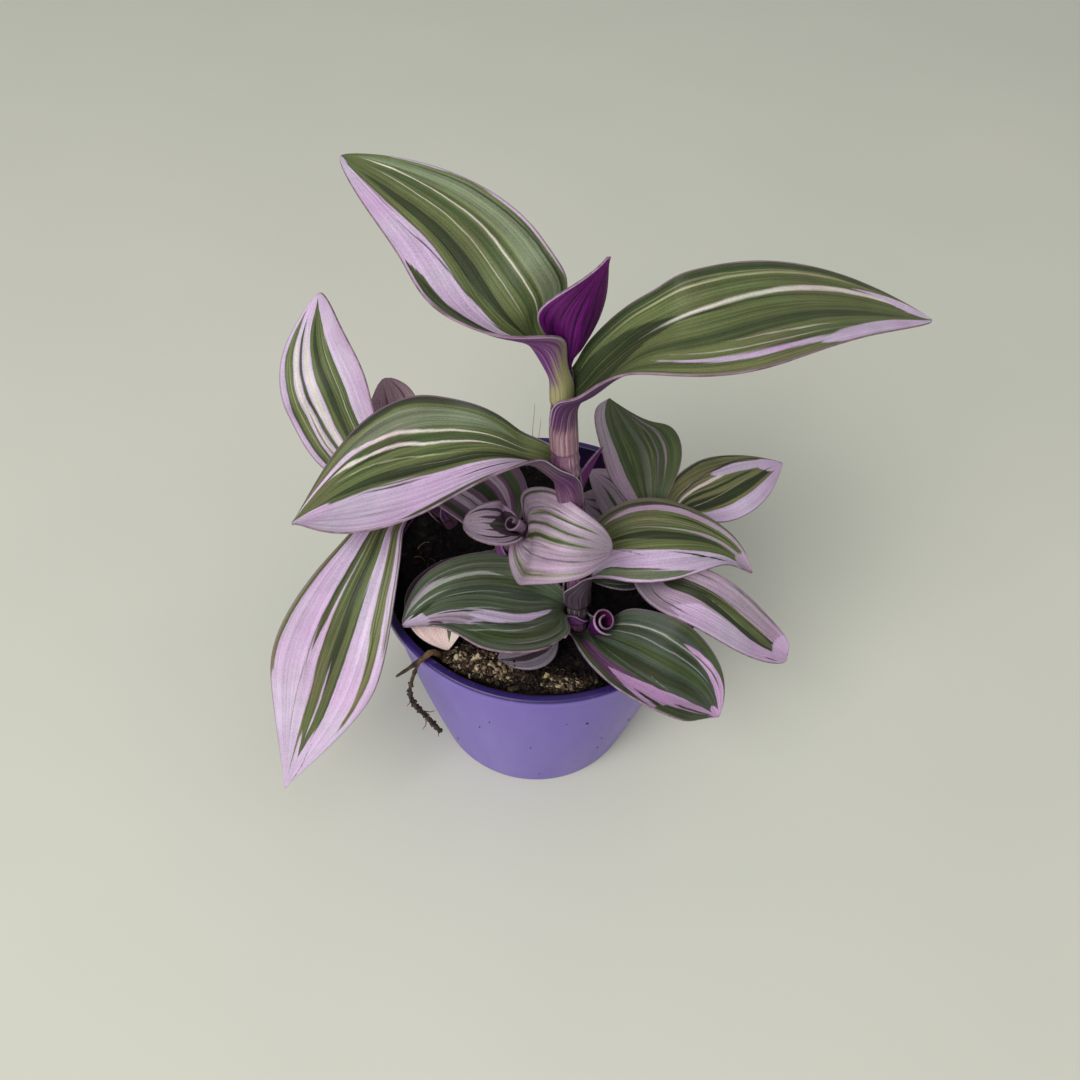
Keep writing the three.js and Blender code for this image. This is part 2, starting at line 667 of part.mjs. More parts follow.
// The first piece of each pair gives way to the second.
const trims = [
  ['leaf_top_right', 'leaf_top_left'],
  ['leaf_tip_bud', 'leaf_top_right'],
  ['leaf_tip_bud', 'leaf_top_left'],
  ['bud_node', 'leaf_big_left'],
  ['leaf_rosette_right', 'leaf_big_left'],
  ['leaf_rosette_right', 'stem_main'],
  ['leaf_rosette_back', 'leaf_low_left'],
  ['leaf_low_left', 'stem_rosette'],
  ['bud_low_right', 'leaf_low_right'],
  ['bud_low_right', 'leaf_low_left'],
  ['rosette_roll', 'leaf_rosette_right'],
  ['rosette_roll', 'leaf_rosette_left'],
  ['leaf_rosette_left', 'leaf_rosette_right'],
  ['leaf_right_back', 'leaf_right_far'],
  ['leaf_right_inner', 'leaf_right_back'],
  ['leaf_right_inner', 'leaf_right_droop'],
  ['leaf_right_near', 'leaf_right_droop'],
  ['leaf_right_low', 'leaf_right_near'],
  ['leaf_left_hang', 'leaf_left_back'],
  ['leaf_low_right', 'leaf_low_left'],
];
Object.entries(leaves).forEach(([name, leaf]) => {
  if (leaf.stem) trims.push([name, stems[leaf.stem].node]);
});

const shapes = {
  pot: { solid: potSolid, colour: '#7d66b8', roughness: 0.45 },
  soil: { solid: soilSolid, colour: '#3b2d22', roughness: 1 },
  dead_stalk: { solid: deadStalkSolid, colour: '#6b4c30', roughness: 0.9 },
};
Object.entries(stems).forEach(([name, stem]) => {
  shapes[stem.node] = { solid: (extra) => stemSolid(name, extra), colour: '#7d4a72', roughness: 0.55 };
});
Object.entries(leaves).forEach(([name, leaf]) => {
  shapes[name] = { solid: (extra) => leafSolid(name, extra), colour: leaf.colour, roughness: 0.5 };
});
Object.entries(rolls).forEach(([name, roll]) => {
  shapes[name] = { solid: () => rollSolid(name), colour: roll.colour, roughness: 0.5 };
});

function largestPart(solid) {
  return solid.decompose().reduce((best, part) => (part.volume() > best.volume() ? part : best));
}

function finishedSolid(name) {
  const cutters = trims
    .filter(([piece]) => piece === name)
    .map(([, neighbour]) => shapes[neighbour].solid(neighbour in leaves ? leafGap : gap));
  const whole = shapes[name].solid();
  if (cutters.length === 0) return whole;
  return largestPart(cutters.reduce((rest, cutter) => rest.subtract(cutter), whole));
}

const plant = new THREE.Group();
Object.entries(shapes).forEach(([name, { colour, roughness }]) => {
  const material = new THREE.MeshStandardMaterial({ color: colour, roughness, metalness: 0 });
  const mesh = new THREE.Mesh(toGeometry(finishedSolid(name)), material);
  mesh.name = name;
  plant.add(mesh);
});

export default plant;
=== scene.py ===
# Looks for the potted striped tradescantia: leaves, stems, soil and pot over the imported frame.
# Lengths in the dictionaries are millimetres and angles are degrees, as in the part's own source.
import bmesh
import bpy
import math
import numpy as np
import random
from mathutils import Matrix, Vector, noise
from mathutils.bvhtree import BVHTree


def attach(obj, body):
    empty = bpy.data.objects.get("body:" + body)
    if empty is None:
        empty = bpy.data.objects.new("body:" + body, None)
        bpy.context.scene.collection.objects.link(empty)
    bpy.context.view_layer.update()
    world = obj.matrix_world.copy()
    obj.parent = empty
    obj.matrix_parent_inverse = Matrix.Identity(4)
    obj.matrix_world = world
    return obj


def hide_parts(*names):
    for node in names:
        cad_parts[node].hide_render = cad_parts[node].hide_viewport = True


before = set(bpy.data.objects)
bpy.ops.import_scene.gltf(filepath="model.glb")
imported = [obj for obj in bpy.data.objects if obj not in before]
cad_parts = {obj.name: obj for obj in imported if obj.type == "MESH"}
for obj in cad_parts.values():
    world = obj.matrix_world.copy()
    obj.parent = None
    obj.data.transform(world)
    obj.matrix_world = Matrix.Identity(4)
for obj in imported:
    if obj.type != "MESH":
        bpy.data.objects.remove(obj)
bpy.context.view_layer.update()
scene = bpy.context.scene
mm = 0.001


def tone(red, green, blue):
    return tuple(((c / 255 + 0.055) / 1.055) ** 2.4 for c in (red, green, blue)) + (1,)


def smooth(value, low, high):
    share = np.clip((value - low) / (high - low), 0, 1)
    return share * share * (3 - 2 * share)


def mixed(low, high, share):
    return low + (high - low) * share


def unit(rows):
    return rows / np.linalg.norm(rows, axis=-1, keepdims=True)


# Node trees: a node with its settings, and each socket either linked or given a value
def fillSockets(tree, made, inputs):
    for socket, value in inputs.items():
        if isinstance(value, bpy.types.NodeSocket):
            tree.links.new(value, made.inputs[socket])
        else:
            made.inputs[socket].default_value = value
    return made


def node(tree, kind, inputs=None, **settings):
    made = tree.nodes.new(kind)
    for name, value in settings.items():
        setattr(made, name, value)
    return fillSockets(tree, made, inputs or {})


def maths(tree, operation, *values, clamp=False):
    made = node(tree, "ShaderNodeMath", dict(enumerate(values)), operation=operation, use_clamp=clamp)
    return made.outputs[0]


def plus(tree, first, second):
    return maths(tree, "ADD", first, second)


def minus(tree, first, second):
    return maths(tree, "SUBTRACT", first, second)


def times(tree, first, second):
    return maths(tree, "MULTIPLY", first, second)


def blendTones(tree, factor, first, second, mode="MIX"):
    inputs = {0: factor, 6: first, 7: second}
    return node(tree, "ShaderNodeMix", inputs, data_type="RGBA", blend_type=mode).outputs[2]


def ranged(tree, value, fromLow, fromHigh, toLow=0.0, toHigh=1.0, kind="LINEAR"):
    inputs = {"Value": value, "From Min": fromLow, "From Max": fromHigh, "To Min": toLow, "To Max": toHigh}
    return node(tree, "ShaderNodeMapRange", inputs, interpolation_type=kind, clamp=True).outputs[0]


def ramp(tree, factor, stops):
    made = node(tree, "ShaderNodeValToRGB", {0: factor})
    for k, (place, colour) in enumerate(stops):
        stop = made.color_ramp.elements[k] if k < 2 else made.color_ramp.elements.new(place)
        stop.position = place
        stop.color = colour
    return made.outputs[0]


def grainy(tree, vector, scale, detail=2.0, roughness=0.5):
    inputs = {"Vector": vector, "Scale": scale, "Detail": detail, "Roughness": roughness}
    return node(tree, "ShaderNodeTexNoise", inputs).outputs[0]


def triple(tree, x, y, z):
    return node(tree, "ShaderNodeCombineXYZ", {0: x, 1: y, 2: z}).outputs[0]


def parted(tree, vector):
    return node(tree, "ShaderNodeSeparateXYZ", {0: vector}).outputs


def scaled(tree, vector, factors):
    return node(tree, "ShaderNodeVectorMath", {0: vector, 1: factors}, operation="MULTIPLY").outputs[0]


def onObject(tree):
    return node(tree, "ShaderNodeTexCoord").outputs["Object"]


def onSurface(tree, attribute):
    return node(tree, "ShaderNodeAttribute", attribute_name=attribute).outputs["Vector"]


# Noise drawn out along the veins: place[0] runs along the leaf and place[1] across it
def veined(tree, place, alongScale, acrossScale, third, detail=2.0, roughness=0.5):
    along = times(tree, place[0], alongScale)
    across = times(tree, place[1], acrossScale)
    return grainy(tree, triple(tree, along, across, third), 1.0, detail, roughness)


def newGroup(name, inputs, outputs):
    tree = bpy.data.node_groups.new(name, "ShaderNodeTree")
    kinds = {"v": "NodeSocketVector", "c": "NodeSocketColor", "f": "NodeSocketFloat"}
    for side, sockets in (("INPUT", inputs), ("OUTPUT", outputs)):
        for label, kind in sockets.items():
            tree.interface.new_socket(name=label, in_out=side, socket_type=kinds[kind])
    return tree, tree.nodes.new("NodeGroupInput").outputs, tree.nodes.new("NodeGroupOutput").inputs


def placeGroup(tree, group, inputs):
    made = tree.nodes.new("ShaderNodeGroup")
    made.node_tree = group
    return fillSockets(tree, made, inputs).outputs


# The glow is how far red, green and blue light goes under the skin
def newMaterial(name, constants, glow=()):
    material = bpy.data.materials.new(name)
    material.use_nodes = True
    shader = material.node_tree.nodes["Principled BSDF"]
    for socket, value in constants.items():
        shader.inputs[socket].default_value = value
    if glow:
        shader.inputs["Subsurface Radius"].default_value = [reach * mm for reach in glow]
    return material, material.node_tree, shader


# Colour, roughness and relief of a material: the relief in mm at full height
def finishSkin(tree, shader, colour, roughness=None, height=None, relief=0.0, strength=1.0):
    tree.links.new(colour, shader.inputs["Base Color"])
    if roughness is not None:
        tree.links.new(roughness, shader.inputs["Roughness"])
    if height is not None:
        bump = node(tree, "ShaderNodeBump", {"Height": height, "Distance": relief * mm, "Strength": strength})
        tree.links.new(bump.outputs[0], shader.inputs["Normal"])


def addPiece(name, bm, materials, stands=()):
    mesh = meshFrom(bm, name)
    mesh.shade_smooth()
    for material in materials:
        mesh.materials.append(material)
    piece = bpy.data.objects.new(name, mesh)
    scene.collection.objects.link(piece)
    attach(piece, "root")
    if stands:
        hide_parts(*stands)
    return piece


def meshFrom(bm, name):
    mesh = bpy.data.meshes.new(name)
    bm.to_mesh(mesh)
    bm.free()
    return mesh


# Only the modifiers' result stays, so that the piece is plain geometry
def applyModifiers(piece):
    bpy.context.view_layer.update()
    evaluated = piece.evaluated_get(bpy.context.evaluated_depsgraph_get())
    finished = bpy.data.meshes.new_from_object(evaluated)
    piece.modifiers.clear()
    piece.data = finished


# Camera, lights and table
camera = dict(place=(-0.9, -183.8, 321.6), tiltBack=38.43, roll=2.73, lens=33.33, sensor=36)
cameraData = bpy.data.cameras.new("camera")
cameraData.lens = camera["lens"]
cameraData.sensor_width = camera["sensor"]
cameraObject = bpy.data.objects.new("camera", cameraData)
tilted = Matrix.Rotation(math.radians(camera["tiltBack"]), 4, "X")
rolled = Matrix.Rotation(math.radians(camera["roll"]), 4, "Z")
cameraObject.matrix_world = Matrix.Translation(Vector(camera["place"]) * mm) @ tilted @ rolled
scene.collection.objects.link(cameraObject)
scene.camera = cameraObject

softLights = (
    dict(name="windowLight", place=(-750, -1100, 1350), size=1100, watts=31.0, colour=(1.0, 0.99, 0.98)),
    dict(name="roomLight", place=(500, -300, 1700), size=1400, watts=6.0, colour=(1.0, 1.0, 0.97)),
)
lightsAim = Vector((0, 0, 80))
for light in softLights:
    lightData = bpy.data.lights.new(light["name"], "AREA")
    lightData.shape = "SQUARE"
    lightData.size = light["size"] * mm
    lightData.energy = light["watts"]
    lightData.color = light["colour"]
    lightObject = bpy.data.objects.new(light["name"], lightData)
    place = Vector(light["place"])
    aimed = (lightsAim - place).to_track_quat("-Z", "Y").to_matrix().to_4x4()
    lightObject.matrix_world = Matrix.Translation(place * mm) @ aimed
    scene.collection.objects.link(lightObject)

room = dict(colour=(0.97, 0.98, 1.0, 1), strength=0.31)
scene.world = scene.world or bpy.data.worlds.new("room")
scene.world.use_nodes = True
roomTree = scene.world.node_tree
roomTree.nodes.clear()
roomGlow = node(roomTree, "ShaderNodeBackground", {"Color": room["colour"], "Strength": room["strength"]})
node(roomTree, "ShaderNodeOutputWorld", {"Surface": roomGlow.outputs[0]})
scene.view_settings.view_transform = "Standard"

table = dict(
    reach=2400, roughness=0.7, mottleScale=9.0, paint=tone(205, 205, 192), mottle=tone(198, 200, 186),
)
tableBm = bmesh.new()
bmesh.ops.create_grid(tableBm, x_segments=4, y_segments=4, size=table["reach"] * mm)
tableMesh = meshFrom(tableBm, "table")
tablePiece = bpy.data.objects.new("table", tableMesh)
scene.collection.objects.link(tablePiece)
tableMaterial, tree, shader = newMaterial("painted table", {"Roughness": table["roughness"]})
clouds = grainy(tree, onObject(tree), table["mottleScale"])
finishSkin(tree, shader, blendTones(tree, clouds, table["paint"], table["mottle"]))
tableMesh.materials.append(tableMaterial)
print("camera, lights and table placed")

# Leaf tones, named once for all the stripes
tones = dict(
    green=tone(88, 99, 58), deep=tone(48, 58, 34), olive=tone(106, 110, 70), moss=tone(66, 80, 46),
    fern=tone(82, 94, 72), sage=tone(106, 118, 90), pink=tone(197, 179, 203), rose=tone(186, 152, 188),
    white=tone(208, 204, 192), cream=tone(168, 170, 134), lilac=tone(166, 149, 164),
    plum=tone(100, 76, 94), silver=tone(150, 158, 146), pine=tone(64, 76, 60), dusk=tone(66, 54, 62),
    shell=tone(224, 204, 192), wine=tone(84, 22, 66), violet=tone(106, 18, 110), grape=tone(58, 14, 66),
    edge=tone(140, 112, 132), haze=tone(142, 138, 126), straw=tone(156, 154, 106),
    bark=tone(132, 98, 108), rib=tone(184, 160, 166), orchid=tone(108, 48, 120),
    mauve=tone(104, 72, 100), berry=tone(76, 36, 84), ash=tone(64, 54, 62), mist=tone(118, 110, 120),
)

# One stripe of a leaf: it runs along the veins from start to end, between two edges that drift,
# and draws to a point over the length called point
stripeParts = ("Start", "End", "Low", "High", "LowEnd", "HighEnd", "Bend", "Point")
stripeInputs = dict.fromkeys(("Along", "Across") + stripeParts + ("Blur",), "f")
stripeGroup, given, result = newGroup("leaf stripe", stripeInputs, dict(Mask="f"))
run = ranged(stripeGroup, given["Along"], given["Start"], given["End"])
run = maths(stripeGroup, "POWER", run, given["Bend"])
pointShape = 0.6
low = ranged(stripeGroup, run, 0.0, 1.0, given["Low"], given["LowEnd"])
high = ranged(stripeGroup, run, 0.0, 1.0, given["High"], given["HighEnd"])
half = times(stripeGroup, minus(stripeGroup, high, low), 0.5)
middle = times(stripeGroup, plus(stripeGroup, high, low), 0.5)
fromStart = minus(stripeGroup, given["Along"], given["Start"])
fromEnd = minus(stripeGroup, given["End"], given["Along"])
nearer = maths(stripeGroup, "MINIMUM", fromStart, fromEnd)
narrowed = maths(stripeGroup, "DIVIDE", nearer, given["Point"], clamp=True)
half = times(stripeGroup, half, maths(stripeGroup, "POWER", narrowed, pointShape))
aside = maths(stripeGroup, "ABSOLUTE", minus(stripeGroup, given["Across"], middle))
inside = minus(stripeGroup, half, aside)
inside = maths(stripeGroup, "DIVIDE", inside, given["Blur"], clamp=True)
stripeGroup.links.new(inside, result["Mask"])

# The way stripes waver: their sides wander a little and their ends are ragged from vein to vein
waver = dict(
    sway=0.045, swayScales=(5.0, 2.5), shiver=0.012, shiverScales=(22.0, 9.0),
    ragged=0.018, raggedScales=(2.0, 26.0), raggedSpan=(0.2, 0.8),
)
waverGroup, given, result = newGroup(
    "stripe waver", dict(Along="f", Across="f", Seed="f"), dict(Along="f", Across="f"),
)
sway = veined(waverGroup, given, *waver["swayScales"], given["Seed"], 1.0)
shiver = veined(waverGroup, given, *waver["shiverScales"], given["Seed"])
threads = veined(waverGroup, given, *waver["raggedScales"], given["Seed"])
swayed = ranged(waverGroup, sway, 0.0, 1.0, -waver["sway"], waver["sway"])
across = plus(waverGroup, given["Across"], swayed)
shivered = ranged(waverGroup, shiver, 0.0, 1.0, -waver["shiver"], waver["shiver"])
across = plus(waverGroup, across, shivered)
pulled = ranged(waverGroup, threads, *waver["raggedSpan"], -waver["ragged"], waver["ragged"])
along = plus(waverGroup, given["Along"], pulled)
waverGroup.links.new(along, result["Along"])
waverGroup.links.new(across, result["Across"])

# Skin of a leaf: fine veins, soft cloudiness and the sparkle of its cells, a painted glint that lightens
# the middle of each cell in the colour. Each vein noise has its scales along and across the leaf, the shift
# of its seed, its detail, and the half range that lightens or darkens the skin by its depth.
skinVeins = dict(
    fine=(2.4, 40.0, 0.0, 3.0, 0.2, 0.24), middle=(0.9, 15.0, 2.0, 2.0, 0.18, 0.3),
    broad=(1.2, 6.0, 4.0, 2.0, 0.2, 0.16),
)
skinLook = dict(
    lineVeins=(0.6, 9.0, 7.0, 1.0), lineWidth=0.02, lineLight=0.42, veinGrain=0.6,
    cloudScale=130.0, clouding=0.08, blushScale=48.0, blush=(1.04, 0.88, 1.02, 1), blushSpan=(0.42, 0.66),
    cellScale=2400.0, cellGlintSpan=(0.1, -0.12), paleSpan=(0.14, 0.5), paleStrength=0.34,
    gloss=(0.42, 0.6), relief=dict(fine=0.6, cells=-0.35, middle=0.9),
)
skinGroup, given, result = newGroup(
    "leaf skin", dict(Tone="c", Along="f", Across="f", Seed="f", Veins="f", Cells="f"),
    dict(Tone="c", Roughness="f", Height="f"),
)


def skinNoise(alongScale, acrossScale, shift, detail):
    seed = plus(skinGroup, given["Seed"], shift)
    place = given["Along"], given["Across"]
    return veined(skinGroup, place, alongScale, acrossScale, seed, detail, skinLook["veinGrain"])


bright = skinNoise(*skinLook["lineVeins"])
line = maths(skinGroup, "ABSOLUTE", minus(skinGroup, bright, 0.5))
veins = ranged(skinGroup, line, 0.0, skinLook["lineWidth"], skinLook["lineLight"], 0.0)
noises = {}
for name, (alongScale, acrossScale, shift, detail, spread, depth) in skinVeins.items():
    noises[name] = skinNoise(alongScale, acrossScale, shift, detail)
    veins = plus(skinGroup, veins, ranged(skinGroup, noises[name], 0.5 - spread, 0.5 + spread, -depth, depth))
spot = onObject(skinGroup)
cloud = grainy(skinGroup, spot, skinLook["cloudScale"], 3.0)
blush = grainy(skinGroup, spot, skinLook["blushScale"], 2.0)
cellInputs = {"Vector": spot, "Scale": skinLook["cellScale"]}
cells = node(skinGroup, "ShaderNodeTexVoronoi", cellInputs).outputs["Distance"]
paleness = node(skinGroup, "ShaderNodeRGBToBW", {0: given["Tone"]}).outputs[0]
strength = ranged(skinGroup, paleness, *skinLook["paleSpan"], 1.0, skinLook["paleStrength"])
strength = times(skinGroup, strength, given["Veins"])
clouded = ranged(skinGroup, cloud, 0.3, 0.7, -skinLook["clouding"], skinLook["clouding"])
light = plus(skinGroup, times(skinGroup, veins, strength), clouded)
# Painted glint: the colour is lighter at the middle of each cell and darker at its edge
paintedCellGlint = times(skinGroup, ranged(skinGroup, cells, 0.0, 0.8, *skinLook["cellGlintSpan"]), given["Cells"])
light = plus(skinGroup, plus(skinGroup, light, paintedCellGlint), 1.0)
lit = {0: given["Tone"], "Scale": light}
skinTone = node(skinGroup, "ShaderNodeVectorMath", lit, operation="SCALE").outputs[0]
flushed = blendTones(skinGroup, 1.0, skinTone, skinLook["blush"], "MULTIPLY")
skinTone = blendTones(skinGroup, ranged(skinGroup, blush, *skinLook["blushSpan"]), skinTone, flushed)
skinGroup.links.new(skinTone, result["Tone"])
skinGroup.links.new(ranged(skinGroup, noises["fine"], 0.2, 0.8, *skinLook["gloss"]), result["Roughness"])
height = times(skinGroup, noises["fine"], skinLook["relief"]["fine"])
height = plus(skinGroup, height, times(skinGroup, cells, skinLook["relief"]["cells"]))
height = plus(skinGroup, height, times(skinGroup, noises["middle"], skinLook["relief"]["middle"]))
skinGroup.links.new(height, result["Height"])


# Materials of one leaf: striped upper side, purple underside with its sheath, and the thin margin
stripeBlur = 0.026
# The cells weight of each look sets how strong the painted glint of the cells is in the colour
upperSkin = dict(
    gloss=0.28, glow=(2, 1, 1.2), rim=(0.968, 0.992, 0.75), relief=0.25, strength=0.5,
    veins=1.0, cells=1.0, seedShift=0.0,
)
underSkin = dict(
    gloss=0.3, glow=(2, 1, 1.5), rim=(0.95, 0.985, 0.8), relief=0.3, strength=0.6,
    veins=0.9, cells=0.6, seedShift=9.0,
)


def leafSkin(name, look):
    constants = {"Subsurface Weight": 0.06, "Specular IOR Level": look["gloss"]}
    material, tree, shader = newMaterial(name, constants, look["glow"])
    return material, tree, shader, parted(tree, onSurface(tree, "leafPlace"))


def finishLeaf(tree, shader, place, colour, seed, margin, look):
    settings = {"Tone": colour, "Along": place[0], "Across": place[1], "Seed": seed + look["seedShift"]}
    settings.update({"Veins": look["veins"], "Cells": look["cells"]})
    skin = placeGroup(tree, skinGroup, settings)
    inner, outer, share = look["rim"]
    rim = ranged(tree, maths(tree, "ABSOLUTE", place[1]), inner, outer, 0.0, share)
    edged = blendTones(tree, rim, skin["Tone"], tones[margin])
    finishSkin(tree, shader, edged, skin["Roughness"], skin["Height"], look["relief"], look["strength"])


def upperSide(leaf, seed):
    material, tree, shader, place = leafSkin(leaf["name"] + " upper side", upperSkin)
    wavered = placeGroup(tree, waverGroup, {"Along": place[0], "Across": place[1], "Seed": seed})
    colour = node(tree, "ShaderNodeRGB").outputs[0]
    colour.default_value = tones[leaf["ground"]]
    for name, *parts in leaf["stripes"]:
        settings = {"Along": wavered[0], "Across": wavered[1], "Blur": leaf.get("blur", stripeBlur)}
        settings.update(zip(stripeParts, parts))
        mask = placeGroup(tree, stripeGroup, settings)["Mask"]
        colour = blendTones(tree, mask, colour, tones[name])
    finishLeaf(tree, shader, place, colour, seed, leaf.get("margin", "edge"), upperSkin)
    return material


# The underside is plain on the blade, and ribbed on the sheath, which changes tone from foot to mouth
usualUnder = dict(
    blade="plum", veins="dusk", mouth="orchid", foot="bark", ribs="rib", rim="pink",
    ribbing=0.5, slant=0.0, turn=(-0.12, 0.03), footFade=(-0.09, 0.05), mouthFade=(-0.05, 0.06),
)
underVeins = dict(
    scales=(1.5, 9.0), span=(0.48, 0.62), raggedSpan=(0.3, 0.7), raggedTo=(-0.04, 0.04),
    ribScales=(2.0, 22.0), ribSpan=(0.5, 0.66),
)


def underside(leaf, seed):
    under = {**usualUnder, **leaf.get("under", {})}
    material, tree, shader, place = leafSkin(leaf["name"] + " underside", underSkin)
    veins = veined(tree, place, *underVeins["scales"], seed)
    veinMask = ranged(tree, veins, *underVeins["span"])
    blade = blendTones(tree, veinMask, tones[under["blade"]], tones[under["veins"]])
    ribs = veined(tree, place, *underVeins["ribScales"], seed, 3.0, 0.6)
    ribMask = ranged(tree, ribs, *underVeins["ribSpan"], 0.0, under["ribbing"])
    mouth = blendTones(tree, ribMask, tones[under["mouth"]], tones[under["ribs"]])
    foot = blendTones(tree, ribMask, tones[under["foot"]], tones[under["ribs"]])
    slanted = times(tree, maths(tree, "ABSOLUTE", place[1]), under["slant"])
    ragged = ranged(tree, veins, *underVeins["raggedSpan"], *underVeins["raggedTo"])
    reach = plus(tree, place[0], ragged)
    reach = minus(tree, reach, slanted)
    middle, top = under["turn"]
    (footLow, footHigh), (mouthLow, mouthHigh) = under["footFade"], under["mouthFade"]
    aboveFoot = ranged(tree, reach, middle + footLow, middle + footHigh, kind="SMOOTHSTEP")
    aboveMouth = ranged(tree, reach, top + mouthLow, top + mouthHigh, kind="SMOOTHSTEP")
    colour = blendTones(tree, aboveMouth, blendTones(tree, aboveFoot, foot, mouth), blade)
    finishLeaf(tree, shader, place, colour, seed, under["rim"], underSkin)
    return material


# The margin changes between two tones in short patches along the leaf
marginMaterial, tree, shader = newMaterial("leaf margin", {"Roughness": 0.5, "Subsurface Weight": 0.1})
patches = veined(tree, parted(tree, onSurface(tree, "leafPlace")), 30.0, 1.0, 0.0)
finishSkin(tree, shader, blendTones(tree, ranged(tree, patches, 0.4, 0.6), tones["edge"], tones["plum"]))

# Stems, as in the part's source: centre line, and radius from the soil to the top
stems = dict(
    main=dict(
        name="stem_main", radii=(2.9, 1.45),
        points=(
            (11.5, -19, 58), (11.5, -19, 74), (10, -19, 94), (9, -19, 108), (7.5, -19, 124),
            (4.5, -19, 142), (3, -19, 158), (2.4, -19, 168),
        ),
    ),
    rosette=dict(
        name="stem_rosette", radii=(2.3, 1.5),
        points=((-14, 1, 58), (-13, -1, 74), (-12, -3, 88), (-9, -8, 100), (-6.5, -13, 110), (-6, -14, 113)),
    ),
    right=dict(
        name="stem_right", radii=(2.4, 1.5),
        points=((25, 0, 58), (26, -2, 74), (30, -6, 88), (32, -8, 98), (33, -8, 104)),
    ),
    left=dict(
        name="stem_left", radii=(2.3, 1.5),
        points=((-27, 20, 58), (-29, 19, 74), (-36, 14, 90), (-42, 8, 102), (-44, 5, 108)),
    ),
)


# The four points that rule each place of a curve, and how far that place is between two of them
def curveSpans(points, share):
    points = np.array(points, float)
    padded = np.vstack([2 * points[0] - points[1], points, 2 * points[-1] - points[-2]])
    spans = len(points) - 1
    position = np.clip(np.atleast_1d(share), 0, 1) * spans
    index = np.minimum(position.astype(int), spans - 1)
    return (position - index)[:, None], [padded[index + k] for k in range(4)]


def softCurve(points, share):
    f, ruling = curveSpans(points, share)
    weights = ((1 - f) ** 3, 3 * f ** 3 - 6 * f ** 2 + 4, -3 * f ** 3 + 3 * f ** 2 + 3 * f + 1, f ** 3)
    return sum(weight * point for weight, point in zip(weights, ruling)) / 6


def throughPoints(points, count):
    f, (a, b, c, d) = curveSpans(points, np.linspace(0, 1, count))
    square, cube = 2 * a - 5 * b + 4 * c - d, 3 * b - a - 3 * c + d
    return 0.5 * (2 * b + (c - a) * f + square * f ** 2 + cube * f ** 3)


def stemCentre(stem, z, steps=400):
    line = softCurve(stems[stem]["points"], np.linspace(0, 1, steps))
    return np.array([np.interp(z, line[:, 2], line[:, 0]), np.interp(z, line[:, 2], line[:, 1]), z])


def outward(angle):
    return np.array([math.cos(math.radians(angle)), math.sin(math.radians(angle)), 0])


# Leaf sheets. The sheath wraps its stem by the angle wrap and opens over the span opening, around
# the mouth, to the angle clasp. Lengths are mm, and furrows and groove are the fine relief.
leafSheet = dict(
    thickness=0.62, rimShare=0.5, thinFrom=0.7, rowStep=0.85, columnStep=0.75, leastRows=40, leastColumns=20,
    allowance=1.15, sections=16, midribSteps=241, tangentStep=0.15, ease=(6,),
    wrap=166, clasp=72, opening=(-5, 1.5), sheathLength=40, mouthFlare=2.5, tipWidth=0.4,
    belly=0.45, waveLag=0.9, waveFrom=(0.05, 0.3), waveTo=(0.85, 1),
    furrows=11, furrowDepth=0.07, furrowTo=(0.75, 1), grooveDepth=0.22, grooveWidth=0.05, grooveTo=(0.6, 1),
)


# The midrib of a leaf, as in the part's source: its points, places along it and the sheath's mouth
def leafMidrib(leaf):
    start = []
    if "stem" in leaf:
        low, high, facing, radius = leaf["sheath"]
        foot = outward(facing) * radius
        start = [stemCentre(leaf["stem"], z) + foot for z in (low, (low + high) / 2, high)]
    points = np.array(start + list(leaf["blade"]), float)
    steps = np.linspace(0, 1, leafSheet["midribSteps"])
    line = softCurve(points, steps)
    distances = np.concatenate([[0], np.cumsum(np.linalg.norm(np.diff(line, axis=0), axis=1))])
    mouth = np.interp(2 / (len(points) - 1), steps, distances) if start else 0.0
    return points, steps, distances, mouth


